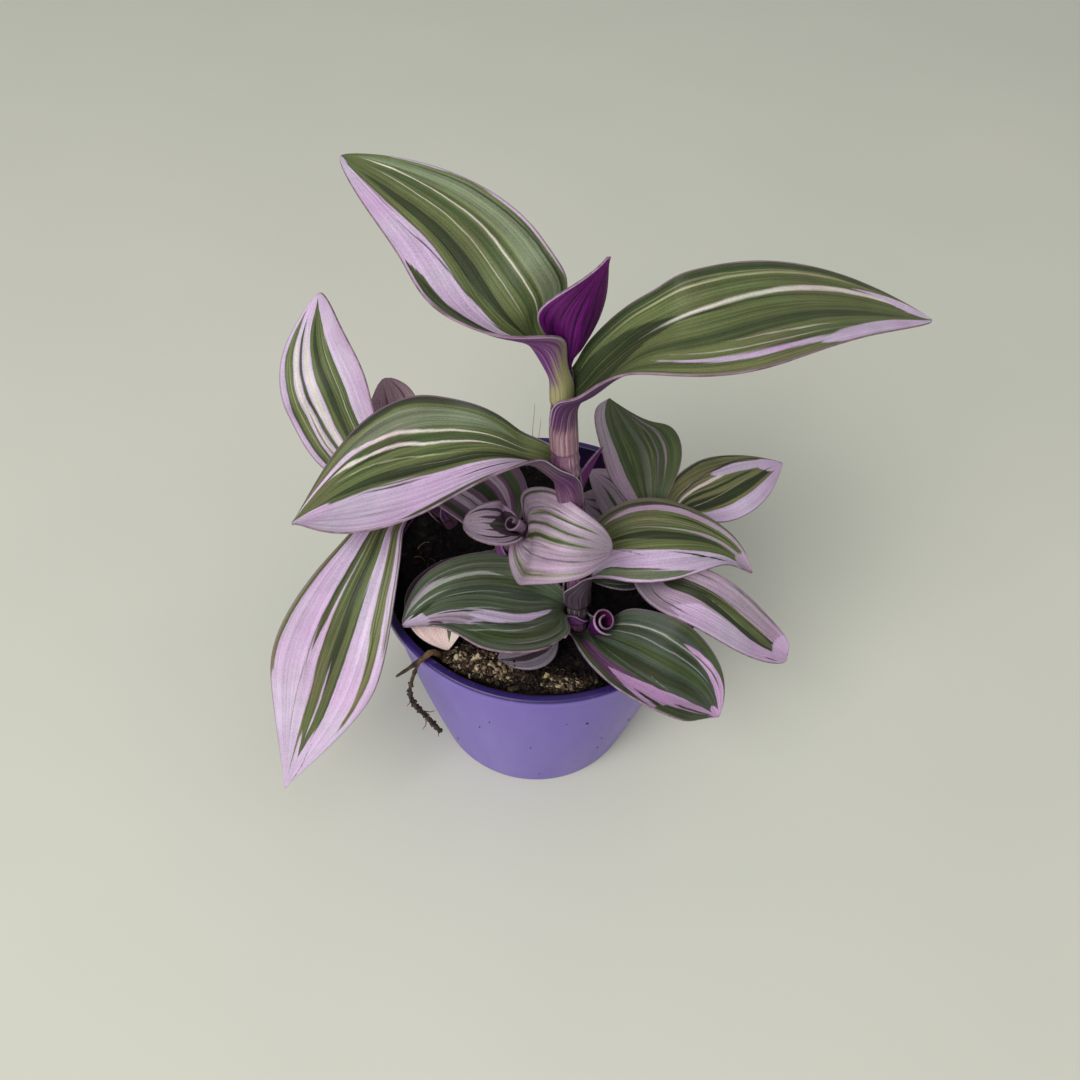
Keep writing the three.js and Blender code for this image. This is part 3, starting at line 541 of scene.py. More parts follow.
# The surface of a leaf, as in the part's source, for shares of the midrib and places across it
def leafSurface(leaf, shares, across):
    points, steps, distances, mouth = leafMidrib(leaf)
    length = distances[-1]
    distance = shares * length
    at = lambda s: softCurve(points, np.interp(s, distances, steps))
    centre, step = at(distance), leafSheet["tangentStep"]
    tangent = unit(at(np.clip(distance + step, 0, length)) - at(np.clip(distance - step, 0, length)))
    share = np.clip((distance - mouth) / (length - mouth), 0, 1)
    turned = smooth(share, 0, 1)[:, None]
    normal = unit(mixed(np.array(leaf["faces"][0], float), np.array(leaf["faces"][1], float), turned))
    power = math.log(0.5) / math.log(leaf["widest"])
    half = leaf["width"] / 2 * np.clip(np.sin(np.pi * share ** power), 0, None) ** leaf["fullness"]
    half = half + leafSheet["tipWidth"]
    base, middle, tip = np.radians(leaf["folds"])
    belly = leafSheet["belly"]
    toBelly, toTip = mixed(base, middle, smooth(share, 0, belly)), mixed(middle, tip, smooth(share, belly, 1))
    fold = np.where(share < belly, toBelly, toTip)
    opened = np.ones(len(share))
    if "stem" in leaf:
        facing, radius = leaf["sheath"][2:]
        opened = smooth(distance - mouth, 0, leaf["collar"])
        clasp = math.radians(leaf.get("clasp", leafSheet["clasp"]))
        wrap = mixed(math.radians(leafSheet["wrap"]), clasp, smooth(distance - mouth, *leafSheet["opening"]))
        half = mixed(radius * wrap, half + leafSheet["mouthFlare"] * (1 - share) ** 5, opened)
        fold = mixed(wrap, fold, opened)
        normal = normal * opened[:, None] + outward(facing) * (opened[:, None] - 1)
    normal = unit(normal - (normal * tangent).sum(1, keepdims=True) * tangent)
    side = np.cross(tangent, normal)
    back = leaf.get("lobe", 0) * opened ** 2 * (1 - smooth(share, 0, belly))
    ripple = smooth(share, *leafSheet["waveFrom"]) * (1 - smooth(share, *leafSheet["waveTo"]))
    furrowed = leafSheet["furrowDepth"] * opened * (1 - smooth(share, *leafSheet["furrowTo"]))
    grooved = leafSheet["grooveDepth"] * opened * (1 - smooth(share, *leafSheet["grooveTo"]))
    count = leafSheet["sections"]
    sections = (np.arange(count) + 0.5) / count
    surface = np.zeros((len(share), len(across), 3))
    for column, v in enumerate(across):
        curl = np.radians(leaf.get("curlLeft", 0) if v <= 0 else 0) * opened
        angle = fold[:, None] * sections + curl[:, None] * sections ** 3
        part = np.clip(abs(v) * count - np.arange(count), 0, 1) * half[:, None] / count
        aside = (part * np.cos(angle)).sum(1)
        up = (part * np.sin(angle)).sum(1)
        if "wave" in leaf:
            height, waves, start = leaf["wave"]
            lag = leafSheet["waveLag"] if v > 0 else 0
            up = up + height * v * v * np.sin(2 * np.pi * (waves * share + start) + lag) * ripple
        up = up + math.sin(math.pi * leafSheet["furrows"] * v) * furrowed
        up = up - math.exp(-((v / leafSheet["grooveWidth"]) ** 2)) * grooved
        reach = math.copysign(1, v) * aside
        travelled = distance - back * v * v
        steady = (np.maximum.accumulate(travelled) + np.minimum.accumulate(travelled[::-1])[::-1]) / 2
        offset = reach[:, None] * side + up[:, None] * normal
        surface[:, column] = centre + offset + (steady - distance)[:, None] * tangent
    along = np.where(distance < mouth, (distance - mouth) / leafSheet["sheathLength"], share)
    return surface, along


# Only the largest part of a cut leaf is kept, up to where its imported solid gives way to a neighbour
def keepWithinSolid(bm, nodeName):
    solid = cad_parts[nodeName].data
    tree = BVHTree.FromPolygons([v.co for v in solid.vertices], [p.vertices for p in solid.polygons])
    gap = lambda face: tree.find_nearest(face.calc_center_median())[3] or 0
    stray = [face for face in bm.faces if gap(face) > leafSheet["allowance"] * mm]
    bmesh.ops.delete(bm, geom=stray, context="FACES")
    bm.faces.ensure_lookup_table()
    seen, islands = set(), []
    for face in bm.faces:
        if face in seen:
            continue
        island, queue = [], [face]
        seen.add(face)
        while queue:
            current = queue.pop()
            island.append(current)
            for edge in current.edges:
                for other in edge.link_faces:
                    if other not in seen:
                        seen.add(other)
                        queue.append(other)
        islands.append(island)
    islands.sort(key=len)
    bmesh.ops.delete(bm, geom=[face for island in islands[:-1] for face in island], context="FACES")
    return len(stray)


# Rows that cross on the inner side of a bend are drawn apart along the leaf: how often, where that
# fades towards the tip, and its share on the left and on the right. It grows from the base and
# from the midrib on over the two spans named here.
easeSpans = dict(base=(0.0, 0.08), midrib=(0.1, 0.5))


def easedRows(surface, along, across, passes=0, fade=(0.65, 0.9), left=1.0, right=1.0):
    where = smooth(along, *easeSpans["base"]) * (1 - smooth(along, *fade))
    sides = smooth(np.abs(across), *easeSpans["midrib"]) * np.where(across > 0, right, left)
    weight = (where[:, None] * sides[None, :])[1:-1, :, None] * 0.5
    eased = surface.copy()
    for _ in range(passes):
        eased[1:-1] += weight * ((eased[:-2] + eased[2:]) / 2 - eased[1:-1])
    return eased


# A sheet of rows and columns, with its place on the leaf kept at each point, then given thickness:
# the full one in mm and the share of it that is left at the margins
def sheetPiece(leaf, surface, along, across, seed, cut, thickness, ease=()):
    name, (fullThickness, rimShare) = leaf["name"], thickness
    materials = (upperSide(leaf, seed), underside(leaf, seed), marginMaterial)
    rows, columns = surface.shape[:2]
    eased, places = easedRows(surface, along, across, *ease), {}
    bm = bmesh.new()
    bmesh.ops.create_grid(bm, x_segments=rows - 1, y_segments=columns - 1, size=1)
    placeLayer = bm.verts.layers.float_vector.new("leafPlace")
    deformLayer = bm.verts.layers.deform.new()
    for vert in bm.verts:
        row = round((vert.co.x + 1) / 2 * (rows - 1))
        column = columns - 1 - round((vert.co.y + 1) / 2 * (columns - 1))
        vert.co = Vector(surface[row, column]) * mm
        places[vert] = Vector(eased[row, column]) * mm
        vert[placeLayer] = (along[row], across[column], 0)
        margin = smooth(abs(across[column]), leafSheet["thinFrom"], 1)
        vert[deformLayer][0] = float(1 - (1 - rimShare) * margin)
    removed = keepWithinSolid(bm, name) if cut else 0
    for vert in bm.verts:
        vert.co = places[vert]
    piece = addPiece(name + "_fine", bm, materials, stands=(name,))
    piece.vertex_groups.new(name="thickness")
    solid = piece.modifiers.new("thickness", "SOLIDIFY")
    solid.thickness = fullThickness * mm
    solid.offset = 0
    solid.vertex_group = "thickness"
    solid.thickness_vertex_group = rimShare
    solid.material_offset = 1
    solid.material_offset_rim = 2
    applyModifiers(piece)
    print(name, "rows", rows - 1, "columns", columns - 1, "cut", removed, "faces", len(piece.data.polygons))


def makeLeaf(leaf, seed):
    distances = leafMidrib(leaf)[2]
    rows = max(leafSheet["leastRows"], round(distances[-1] / leafSheet["rowStep"]))
    columns = max(leafSheet["leastColumns"], 2 * round(leaf["width"] / leafSheet["columnStep"] / 2))
    across = np.linspace(-1, 1, columns + 1)
    surface, along = leafSurface(leaf, np.linspace(0, 1, rows + 1), across)
    slot, cut = leaf.get("slot", "striped_leaf"), leaf["name"] in cutLeaves
    thickness = leafSheet["thickness"], leafSheet["rimShare"]
    sheetPiece(leaf, surface, along, across, seed, cut, thickness, leaf.get("ease", leafSheet["ease"]))


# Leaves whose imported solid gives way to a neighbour
cutLeaves = (
    "leaf_top_right", "leaf_tip_bud", "bud_node", "leaf_rosette_right", "leaf_rosette_back",
    "leaf_low_left", "leaf_rosette_left", "leaf_right_back", "leaf_right_inner", "leaf_right_near",
    "leaf_right_low", "leaf_left_hang",
)

# Each stripe: tone, start and end along the leaf, its two edges across the leaf at the start and at
# the end, bend of the edges between them, and length of its points
leafTopLeft = dict(
    name="leaf_top_left", stem="main", sheath=(165, 172, 180, 2.6), collar=17, clasp=150,
    width=28.5, widest=0.25, fullness=0.77, folds=(110, 22, 28),
    faces=((-0.4, 0.2, 1), (-0.3, -0.15, 1)),
    blade=(
        (-2.4, -19.6, 177), (-7, -18.6, 185), (-13, -15, 190), (-19.5, -5, 195), (-33, 9, 196.5),
        (-52, 32, 191.5),
    ),
    ground="green", under=dict(foot="straw", mouth="orchid", ribs="haze", turn=(-0.06, 0.2), slant=0.2),
    stripes=(
        ("sage", 0.05, 0.95, 0.5, 0.95, 0.62, 0.9, 1, 0.15),
        ("olive", 0.1, 0.85, 0.56, 0.6, 0.66, 0.7, 1.5, 0.1),
        ("cream", 0.12, 0.75, 0.745, 0.76, 0.76, 0.785, 1, 0.2),
        ("sage", 0.1, 0.8, 0.8, 0.815, 0.8, 0.82, 1, 0.2),
        ("deep", 0.1, 0.8, 0.86, 0.93, 0.86, 0.9, 1, 0.1),
        ("deep", 0.05, 0.9, -0.16, 0.02, -0.3, -0.05, 0.7, 0.3),
        ("moss", 0.05, 0.9, 0.22, 0.36, 0.36, 0.5, 1.5, 0.2),
        ("white", 0.1, 0.97, 0.4, 0.445, 0.6, 0.665, 2.2, 0.12),
        ("white", 0.08, 0.97, 0.14, 0.17, 0.305, 0.35, 2.2, 0.2),
        ("cream", 0.3, 0.9, 0.02, 0.03, 0.1, 0.12, 2, 0.2),
        ("pink", 0.13, 1.3, -0.62, -0.18, -1.3, -0.5, 0.35, 0.12),
        ("deep", 0.22, 0.62, -0.27, -0.22, -0.62, -0.57, 0.8, 0.1),
        ("moss", 0.1, 0.46, -0.8, -0.5, -1.05, -0.86, 0.8, 0.08),
        ("deep", 0.13, 0.42, -0.62, -0.5, -0.98, -0.88, 0.8, 0.1),
        ("deep", 0.6, 0.88, -0.52, -0.47, -0.5, -0.46, 1, 0.1),
        ("pink", 0.25, 0.9, -1.2, -0.96, -1.2, -0.94, 1, 0.1),
        ("pink", 0.12, 0.9, 0.955, 1.2, 0.95, 1.2, 1, 0.1),
        ("pink", 0.93, 1.4, -1.2, 0.0, -1.2, 0.8, 0.6, 0.2),
    ),
)
makeLeaf(leafTopLeft, 2)

leafTopRight = dict(
    name="leaf_top_right", stem="main", sheath=(150, 160, 0, 3.2), collar=14, clasp=145,
    width=26, widest=0.43, fullness=0.84, folds=(80, 20, 21), blur=0.045,
    faces=((0.25, -0.1, 1), (0.15, -0.2, 1)),
    blade=(
        (5.5, -23, 168.5), (11.5, -24, 176.5), (18.5, -26, 188.5), (29, -28.5, 193.5), (45.5, -16, 190.5),
        (65.5, -1.5, 181.5), (90, 9.5, 169.5),
    ),
    ground="green", under=dict(blade="berry", veins="grape", mouth="berry", ribbing=0.65, turn=(0.0, 0.09)),
    stripes=(
        ("moss", 0, 0.9, -1.2, -0.78, -1.2, -0.8, 1, 0.1),
        # The deep patch across the whole base is painted shade from the leaves above
        ("deep", -0.3, 0.34, -1.2, 1.1, -0.8, 0.1, 1, 0.34),
        ("deep", 0, 0.5, -0.5, -0.3, -0.35, -0.2, 1, 0.3),
        ("moss", 0, 0.3, -0.44, -0.36, -0.5, -0.42, 1, 0.1),
        ("olive", 0.02, 0.3, -0.16, -0.1, -0.24, -0.18, 1, 0.1),
        ("moss", 0.1, 0.97, 0.0, 0.3, 0.08, 0.34, 1, 0.3),
        ("deep", 0.3, 0.97, 0.12, 0.22, 0.16, 0.24, 1, 0.3),
        ("deep", 0.2, 0.7, -0.14, -0.08, -0.12, -0.06, 1, 0.2),
        ("cream", 0.08, 0.86, -0.87, -0.83, -0.85, -0.8, 1, 0.2),
        ("cream", 0.1, 0.9, -0.765, -0.71, -0.83, -0.765, 0.5, 0.2),
        ("sage", 0.2, 0.85, -0.5, -0.46, -0.7, -0.66, 0.6, 0.2),
        ("deep", 0.45, 0.85, -0.92, -0.87, -0.95, -0.9, 1, 0.1),
        ("white", 0.24, 1.0, -0.31, -0.25, -0.68, -0.48, 0.8, 0.08),
        ("pink", 0.78, 1.1, -0.75, -0.5, -1.2, -0.4, 1, 0.2),
        ("white", 0.28, 0.66, 0.26, 0.3, 0.6, 0.65, 0.5, 0.12),
        ("white", 0.36, 0.68, 0.22, 0.25, 0.44, 0.5, 0.6, 0.12),
        ("pink", 0.28, 0.68, 0.32, 0.5, 0.74, 0.9, 0.45, 0.12),
        ("olive", 0.26, 0.62, 0.72, 0.97, 0.88, 1.0, 0.6, 0.1),
        ("pink", 0.56, 1.3, 0.5, 1.2, 0.3, 1.2, 1, 0.3),
        ("deep", 0.62, 0.8, 0.55, 0.62, 0.5, 0.56, 1, 0.08),
        ("pink", 0.86, 1.3, -1.2, -0.2, -1.2, 0.5, 0.5, 0.2),
        ("pink", 0.2, 0.95, -1.2, -0.975, -1.2, -0.97, 1, 0.1),
    ),
)
makeLeaf(leafTopRight, 5)

leafTipBud = dict(
    name="leaf_tip_bud", stem="main", sheath=(169.5, 174, 20, 1.3), collar=6,
    width=18.5, widest=0.54, fullness=1.4, folds=(70, 45, 5), curlLeft=130,
    faces=((-0.3, 1, 0.3), (-0.55, 0.8, 0.3)),
    blade=((4.2, -19.5, 178), (5, -21.5, 185.5), (6.2, -23.5, 196), (9.5, -24, 207)),
    ground="lilac", slot="purple_bud",
    under=dict(blade="violet", veins="grape", foot="violet", mouth="violet", ribs="orchid"),
    stripes=(
        ("green", 0.05, 0.9, -0.5, 0.5, -0.3, 0.4, 1, 0.2), ("pink", 0, 1.2, 0.85, 1.2, 0.7, 1.2, 1, 0.1),
    ),
)
makeLeaf(leafTipBud, 8)

leafBigLeft = dict(
    name="leaf_big_left", stem="main", sheath=(130, 140, 180, 3.2), collar=13, clasp=150,
    width=40.5, widest=0.54, fullness=1.15, folds=(80, 32, 42),
    faces=((-0.6, -0.1, 1), (-0.5, 0, 1)),
    blade=(
        (-1, -20.5, 144.5), (-7, -23, 150), (-15.5, -25.5, 153), (-27, -27, 149), (-44.5, -24, 138.5),
        (-64.5, -23.5, 121.5),
    ),
    ground="green", under=dict(foot="mauve", mouth="berry", ribs="bark", ribbing=0.8, turn=(-0.06, 0.05)),
    stripes=(
        ("sage", 0.15, 0.85, 0.52, 0.86, 0.62, 0.9, 1, 0.2), ("deep", 0, 0.8, 0.88, 1.2, 0.9, 1.2, 1, 0.1),
        ("deep", 0.05, 0.9, -0.08, 0.1, 0.02, 0.16, 1.5, 0.2),
        ("moss", 0.25, 0.9, 0.16, 0.24, 0.3, 0.42, 1.5, 0.2),
        ("cream", 0.28, 0.85, 0.12, 0.15, 0.42, 0.46, 1.3, 0.15),
        ("cream", 0.12, 0.6, 0.0, 0.015, 0.1, 0.115, 1.3, 0.15),
        ("deep", 0.15, 0.8, 0.3, 0.38, 0.42, 0.52, 1.5, 0.15),
        ("moss", 0.1, 0.9, 0.3, 0.44, 0.64, 0.74, 1.8, 0.1),
        ("white", 0.08, 0.86, 0.44, 0.48, 0.72, 0.83, 1.9, 0.1),
        ("white", 0.07, 0.84, 0.25, 0.29, 0.56, 0.66, 1.7, 0.1),
        ("pink", 0.6, 1.05, 0.56, 0.62, 0.8, 0.95, 1, 0.12),
        ("pink", 0.02, 1.3, -1.3, -0.14, -1.3, 0.1, 2.2, 0.04),
        ("pink", 0.78, 1.3, -1.2, 0.0, -1.2, 0.62, 1.4, 0.05),
        ("deep", 0.4, 0.74, -0.2, -0.14, -0.17, -0.12, 1.2, 0.12),
        ("pink", 0.46, 0.62, -0.11, -0.07, -0.1, -0.06, 1, 0.08),
        ("deep", 0.16, 0.36, -0.34, -0.28, -0.42, -0.36, 1, 0.06),
        ("moss", 0.5, 0.66, -0.62, -0.59, -0.6, -0.57, 1, 0.06),
        ("sage", 0.12, 0.4, -0.22, -0.18, -0.24, -0.2, 1, 0.1),
        ("moss", 0.2, 0.46, -0.9, -0.68, -1.04, -0.82, 1, 0.1),
        ("deep", 0.24, 0.44, -0.84, -0.76, -0.96, -0.88, 1, 0.08),
        ("deep", 0.43, 0.5, -0.74, -0.71, -0.8, -0.77, 1, 0.03),
    ),
)
makeLeaf(leafBigLeft, 11)

leafLowLeft = dict(
    name="leaf_low_left", stem="main", sheath=(80, 82.5, 185, 4), collar=7,
    width=36, widest=0.43, fullness=0.83, folds=(50, 12, 47),
    faces=((0.2, 0, 1), (0.2, 0.25, 1)),
    blade=((4, -19.5, 85.5), (-5.5, -26, 91.5), (-15, -24, 92.5), (-27.5, -24.5, 91.5), (-38, -30.5, 87)),
    ground="fern",
    stripes=(
        ("pine", 0, 0.9, 0.1, 0.35, 0.1, 0.3, 1, 0.2),
        ("silver", 0.05, 0.4, 0.04, 0.07, 0.1, 0.12, 1, 0.12),
        ("moss", 0.1, 0.7, 0.35, 0.5, 0.4, 0.5, 1, 0.2),
        ("silver", 0.4, 1.0, 0.5, 0.56, 0.55, 0.68, 0.7, 0.12),
        ("lilac", 0.7, 1.0, 0.6, 0.72, 0.62, 0.8, 1, 0.1),
        ("silver", 0.5, 0.95, 0.76, 0.79, 0.74, 0.78, 1, 0.12),
        ("silver", 0.68, 0.95, 0.34, 0.38, 0.3, 0.4, 1, 0.08),
        ("silver", 0.3, 0.8, 0.2, 0.22, 0.14, 0.17, 1, 0.12),
        ("pink", 0.1, 1.3, -0.2, -0.12, -1.3, -0.3, 1.1, 0.06),
        ("lilac", 0.55, 1.0, -0.5, -0.3, -0.9, -0.32, 0.6, 0.06),
        ("silver", 0.36, 0.68, -0.1, -0.06, -0.26, -0.2, 1, 0.1),
        ("deep", 0.5, 0.82, -0.24, -0.17, -0.36, -0.29, 1, 0.1),
        ("fern", 0.02, 0.62, -1.2, -0.34, -1.2, -0.68, 1.6, 0.08),
        ("moss", 0.08, 0.6, -0.66, -0.46, -0.88, -0.72, 1.5, 0.1),
        ("silver", 0.1, 0.62, -0.42, -0.38, -0.82, -0.76, 1.8, 0.1),
        ("pine", 0.22, 0.6, -0.34, -0.27, -0.62, -0.54, 1.3, 0.1),
        ("silver", 0.12, 0.45, -0.76, -0.73, -0.86, -0.83, 1, 0.1),
        ("pink", 0.84, 1.3, -1.2, 0.0, -1.2, 1.2, 1, 0.04),
        ("wine", 0.75, 0.86, -0.78, -0.66, -0.74, -0.62, 1, 0.03),
        ("deep", 0.78, 0.96, 0.06, 0.22, 0.0, 0.2, 1, 0.05),
    ),
)
makeLeaf(leafLowLeft, 14)

leafMidRight = dict(
    name="leaf_mid_right", stem="main", sheath=(88, 97, 10, 3.8), collar=9, clasp=90,
    width=24.5, widest=0.44, fullness=0.9, folds=(60, 11, 32), ease=(40,),
    faces=((0, -0.5, 1), (0.15, 0.15, 1)),
    blade=((16.5, -14.5, 105.5), (23, -15.5, 110), (34, -14.5, 111.5), (48.5, -11.5, 107), (58, -17, 101.5)),
    ground="green", under=dict(foot="ash", mouth="ash", ribs="mist", turn=(-0.03, 0.02)),
    stripes=(
        ("dusk", 0.1, 0.8, -0.95, -0.84, -0.9, -0.8, 1, 0.2),
        ("lilac", 0.2, 1.0, -0.8, -0.7, -0.95, -0.7, 1, 0.08),
        ("deep", 0.2, 0.9, -0.3, -0.06, -0.1, 0.04, 1, 0.2),
        ("olive", 0.25, 0.9, -0.6, -0.5, -0.5, -0.42, 1, 0.2),
        ("silver", 0.26, 0.92, -0.37, -0.33, -0.26, -0.16, 1, 0.15),
        ("silver", 0.3, 0.8, -0.53, -0.51, -0.42, -0.39, 1, 0.15),
        ("lilac", 0.6, 1.0, -0.32, -0.22, -0.4, -0.1, 1, 0.1),
        ("deep", 0.5, 0.9, -0.66, -0.58, -0.62, -0.52, 1, 0.1),
        ("pink", 0, 1.3, -0.3, 1.3, 0.52, 1.3, 0.45, 0.03),
        ("deep", 0.48, 0.88, 0.24, 0.3, 0.76, 0.88, 1.2, 0.1),
        ("sage", 0.02, 0.62, 0.3, 0.86, 0.86, 0.98, 0.7, 0.1),
        ("moss", 0.04, 0.5, 0.3, 0.4, 0.72, 0.78, 0.6, 0.08),
        ("pink", 0, 0.6, 0.9, 1.3, 0.97, 1.3, 1, 0.05), ("dusk", 0.2, 0.38, 0.02, 0.06, 0.3, 0.34, 1, 0.06),
        ("lilac", 0.88, 1.3, -1.2, 1.2, -1.2, 1.2, 1, 0.06),
    ),
)
makeLeaf(leafMidRight, 17)

leafLowRight = dict(
    name="leaf_low_right", stem="main", sheath=(75.4, 76.6, -40, 4), collar=7,
    ease=(120, (0.95, 1.05), 0.1),
    width=29.5, widest=0.47, fullness=0.97, folds=(50, 40, 27), wave=(0.8, 2, 0),
    faces=((-0.1, 0.1, 1), (-0.4, -0.25, 1)),
    blade=(
        (16.5, -29.5, 83), (21.5, -33.5, 86.5), (28.5, -38, 87), (36, -41.5, 85.5), (45, -41, 79),
        (53, -42, 65),
    ),
    ground="pine",
    stripes=(
        ("deep", 0, 0.9, 0.0, 0.2, 0.05, 0.25, 1, 0.2), ("moss", 0.2, 0.9, -0.3, -0.1, -0.3, -0.05, 1, 0.2),
        ("silver", 0.12, 0.8, -0.43, -0.39, -0.44, -0.39, 1, 0.1),
        ("silver", 0.12, 0.8, -0.65, -0.6, -0.64, -0.58, 1, 0.1),
        ("deep", 0.1, 0.72, -0.58, -0.46, -0.56, -0.47, 1, 0.06),
        ("rose", 0.56, 1.3, -0.8, -0.56, -1.1, -0.3, 1.0, 0.3),
        ("moss", 0.6, 0.86, -0.66, -0.6, -0.74, -0.68, 1, 0.06),
        ("moss", 0.4, 0.9, -1.2, -0.82, -1.2, -0.86, 1, 0.1),
        # The mauve patch near the base is painted shade over the leaf's pink side
        ("mauve", 0.05, 0.5, 0.34, 0.75, 0.42, 0.85, 1, 0.08),
        ("rose", 0.3, 1.3, 0.36, 0.8, 0.36, 1.2, 0.6, 0.2),
        ("deep", 0.14, 0.6, 0.12, 0.26, 0.34, 0.42, 0.8, 0.06),
        ("silver", 0.46, 0.6, 0.16, 0.19, 0.34, 0.37, 1, 0.06),
        ("silver", 0.12, 0.4, 0.1, 0.12, 0.26, 0.28, 1, 0.1),
        ("deep", 0.42, 0.58, 0.64, 0.72, 0.78, 0.92, 1, 0.05),
        ("deep", 0.5, 0.66, 0.8, 0.86, 0.88, 0.95, 1, 0.05),
        ("green", 0, 0.42, 0.72, 0.93, 0.86, 0.96, 1, 0.1),
        ("silver", 0, 0.4, 0.93, 1.2, 0.95, 1.2, 1, 0.1),
        ("moss", 0.52, 0.97, 0.7, 1.2, 0.64, 0.92, 1, 0.06),
        ("deep", 0.6, 0.97, 0.58, 0.66, 0.56, 0.66, 1, 0.06),
        ("rose", 0.9, 1.3, -1.2, 1.2, -1.2, 1.2, 1, 0.3),
    ),
)
makeLeaf(leafLowRight, 20)

# Its darkened grey tones are painted shade under leaf_low_left, which covers it
leafLowFront = dict(
    name="leaf_low_front",
    width=15, widest=0.5, fullness=0.85, folds=(20, 10, 10),
    faces=((0, 0, 1), (0, 0, 1)),
    blade=((5, -25, 78.5), (-2, -31.5, 80.5), (-11, -35, 79)),
    ground="mist", margin="mist",
    stripes=(
        ("ash", 0.1, 0.9, 0.1, 0.24, 0.05, 0.16, 1, 0.2),
        ("dusk", 0.05, 1.2, -0.6, -0.3, -0.5, -0.2, 1, 0.2), ("ash", 0.1, 0.9, 0.5, 0.7, 0.4, 0.6, 1, 0.2),
    ),
)
makeLeaf(leafLowFront, 23)

budNode = dict(
    name="bud_node", stem="main", sheath=(126, 128, 55, 3.1), collar=4,
    width=7, widest=0.5, fullness=0.85, folds=(40, 30, 20),
    faces=((-0.5, 0.6, 0.5), (-0.5, 0.6, 0.5)),
    blade=((9, -15.5, 132), (11, -12.5, 136.5), (13.5, -10, 141)),
    ground="violet", slot="purple_bud",
    under=dict(blade="violet", veins="grape", foot="violet", mouth="violet", ribs="grape"),
    stripes=(
        ("wine", 0.05, 0.9, -0.3, 0.1, -0.1, 0.1, 1, 0.2), ("plum", 0.1, 0.9, 0.4, 0.6, 0.3, 0.5, 1, 0.2),
    ),
)
makeLeaf(budNode, 26)

leafRosetteRight = dict(
    name="leaf_rosette_right", stem="rosette", sheath=(102, 105, -40, 2.9), collar=10,
    width=26.2, widest=0.3, fullness=0.65, folds=(60, 4, 14), lobe=8, ease=(60,), blur=0.04,
    faces=((0.1, -0.68, 1), (0, -1, 1)),
    blade=((-3, -19.5, 116.5), (-1.5, -25.5, 124), (4, -32, 129), (9.5, -32.5, 128.5), (17.5, -26, 120)),
    ground="lilac", under=dict(foot="plum", mouth="plum"),
    stripes=(
        ("haze", 0, 0.85, 0.58, 0.84, 0.78, 0.92, 1.5, 0.15),
        ("moss", 0, 0.7, 0.66, 0.74, 0.82, 0.86, 1.5, 0.15),
        ("dusk", 0.05, 0.8, 0.27, 0.34, 0.44, 0.5, 1.3, 0.08),
        ("dusk", 0.05, 0.6, 0.1, 0.15, 0.12, 0.17, 1, 0.06),
        ("haze", 0, 0.9, -0.17, 0.11, -0.12, 0.06, 1, 0.2),
        ("moss", 0, 0.84, -0.12, 0.07, -0.09, 0.02, 1, 0.2),
        ("dusk", 0, 0.7, -0.03, 0.03, -0.05, -0.01, 1, 0.2),
        ("haze", 0.05, 0.86, -0.36, -0.22, -0.32, -0.2, 1, 0.15),
        ("moss", 0.1, 0.8, -0.33, -0.23, -0.3, -0.21, 1, 0.1),
        ("dusk", 0.1, 0.6, -0.3, -0.25, -0.28, -0.23, 1, 0.1),
        ("haze", 0.15, 0.9, -0.5, -0.38, -0.7, -0.56, 1, 0.15),
        ("moss", 0.2, 0.88, -0.46, -0.38, -0.66, -0.57, 1, 0.1),
        ("dusk", 0.3, 0.8, -0.43, -0.38, -0.62, -0.58, 1, 0.08),
        ("dusk", 0.14, 0.62, -0.53, -0.48, -0.72, -0.67, 1, 0.06),
        ("haze", 0.1, 0.6, -0.66, -0.6, -0.8, -0.75, 1, 0.06),
        ("moss", 0, 0.6, -0.9, -0.76, -0.97, -0.9, 1, 0.1),
    ),
)
makeLeaf(leafRosetteRight, 29)

leafRosetteLeft = dict(
    name="leaf_rosette_left", stem="rosette", sheath=(109.5, 112, 170, 2.1), collar=5,
    width=12.5, widest=0.49, fullness=0.55, folds=(60, 41, 52),
    faces=((0, -0.4, 1), (-0.4, -0.5, 1)),
    blade=((-10, -18, 117.5), (-14.5, -20, 120.5), (-21, -19.5, 120)),
    ground="lilac", under=dict(foot="plum", mouth="plum"),
    stripes=(
        ("ash", -0.3, 0.62, -1.2, 1.2, -0.7, 0.7, 1, 0.5), ("ash", 0, 0.82, 0.2, 0.4, 0.28, 0.4, 1, 0.15),
        ("ash", 0.1, 0.95, 0.5, 0.66, 0.76, 0.9, 2, 0.15),
        ("moss", 0.1, 0.76, 0.0, 0.14, 0.03, 0.13, 1, 0.15),
        ("ash", 0.15, 0.84, -0.56, -0.42, -0.68, -0.58, 1, 0.15),
        ("ash", 0.1, 0.6, -0.84, -0.7, -0.92, -0.84, 1, 0.15),
        ("ash", 0.2, 0.72, -0.28, -0.14, -0.26, -0.16, 1, 0.15),
    ),
)
makeLeaf(leafRosetteLeft, 32)

leafRosetteBack = dict(
    name="leaf_rosette_back", stem="rosette", sheath=(93, 96.5, 135, 2.9), collar=6,
    width=25.5, widest=0.49, fullness=0.84, folds=(40, 20, 10),
    faces=((0, -0.3, 1), (0, 0, 1)),
    blade=((-12.5, -1.5, 104), (-17, 0.5, 111), (-25, 2, 114), (-34, 10.5, 110)),
    ground="plum",
    stripes=(
        ("moss", 0, 0.9, 0.62, 0.85, 0.5, 0.8, 1, 0.2), ("deep", 0, 0.95, -0.1, 0.2, -0.1, 0.15, 1, 0.2),
        ("lilac", 0.1, 1.0, 0.3, 0.5, 0.25, 0.45, 1, 0.2),
        ("lilac", 0.1, 1.0, -0.6, -0.2, -0.6, -0.25, 1, 0.2),
        ("deep", 0.1, 0.9, -0.4, -0.34, -0.42, -0.37, 1, 0.2),
        ("deep", 0.1, 0.9, -0.95, -0.75, -0.9, -0.7, 1, 0.2),
    ),
)
makeLeaf(leafRosetteBack, 35)

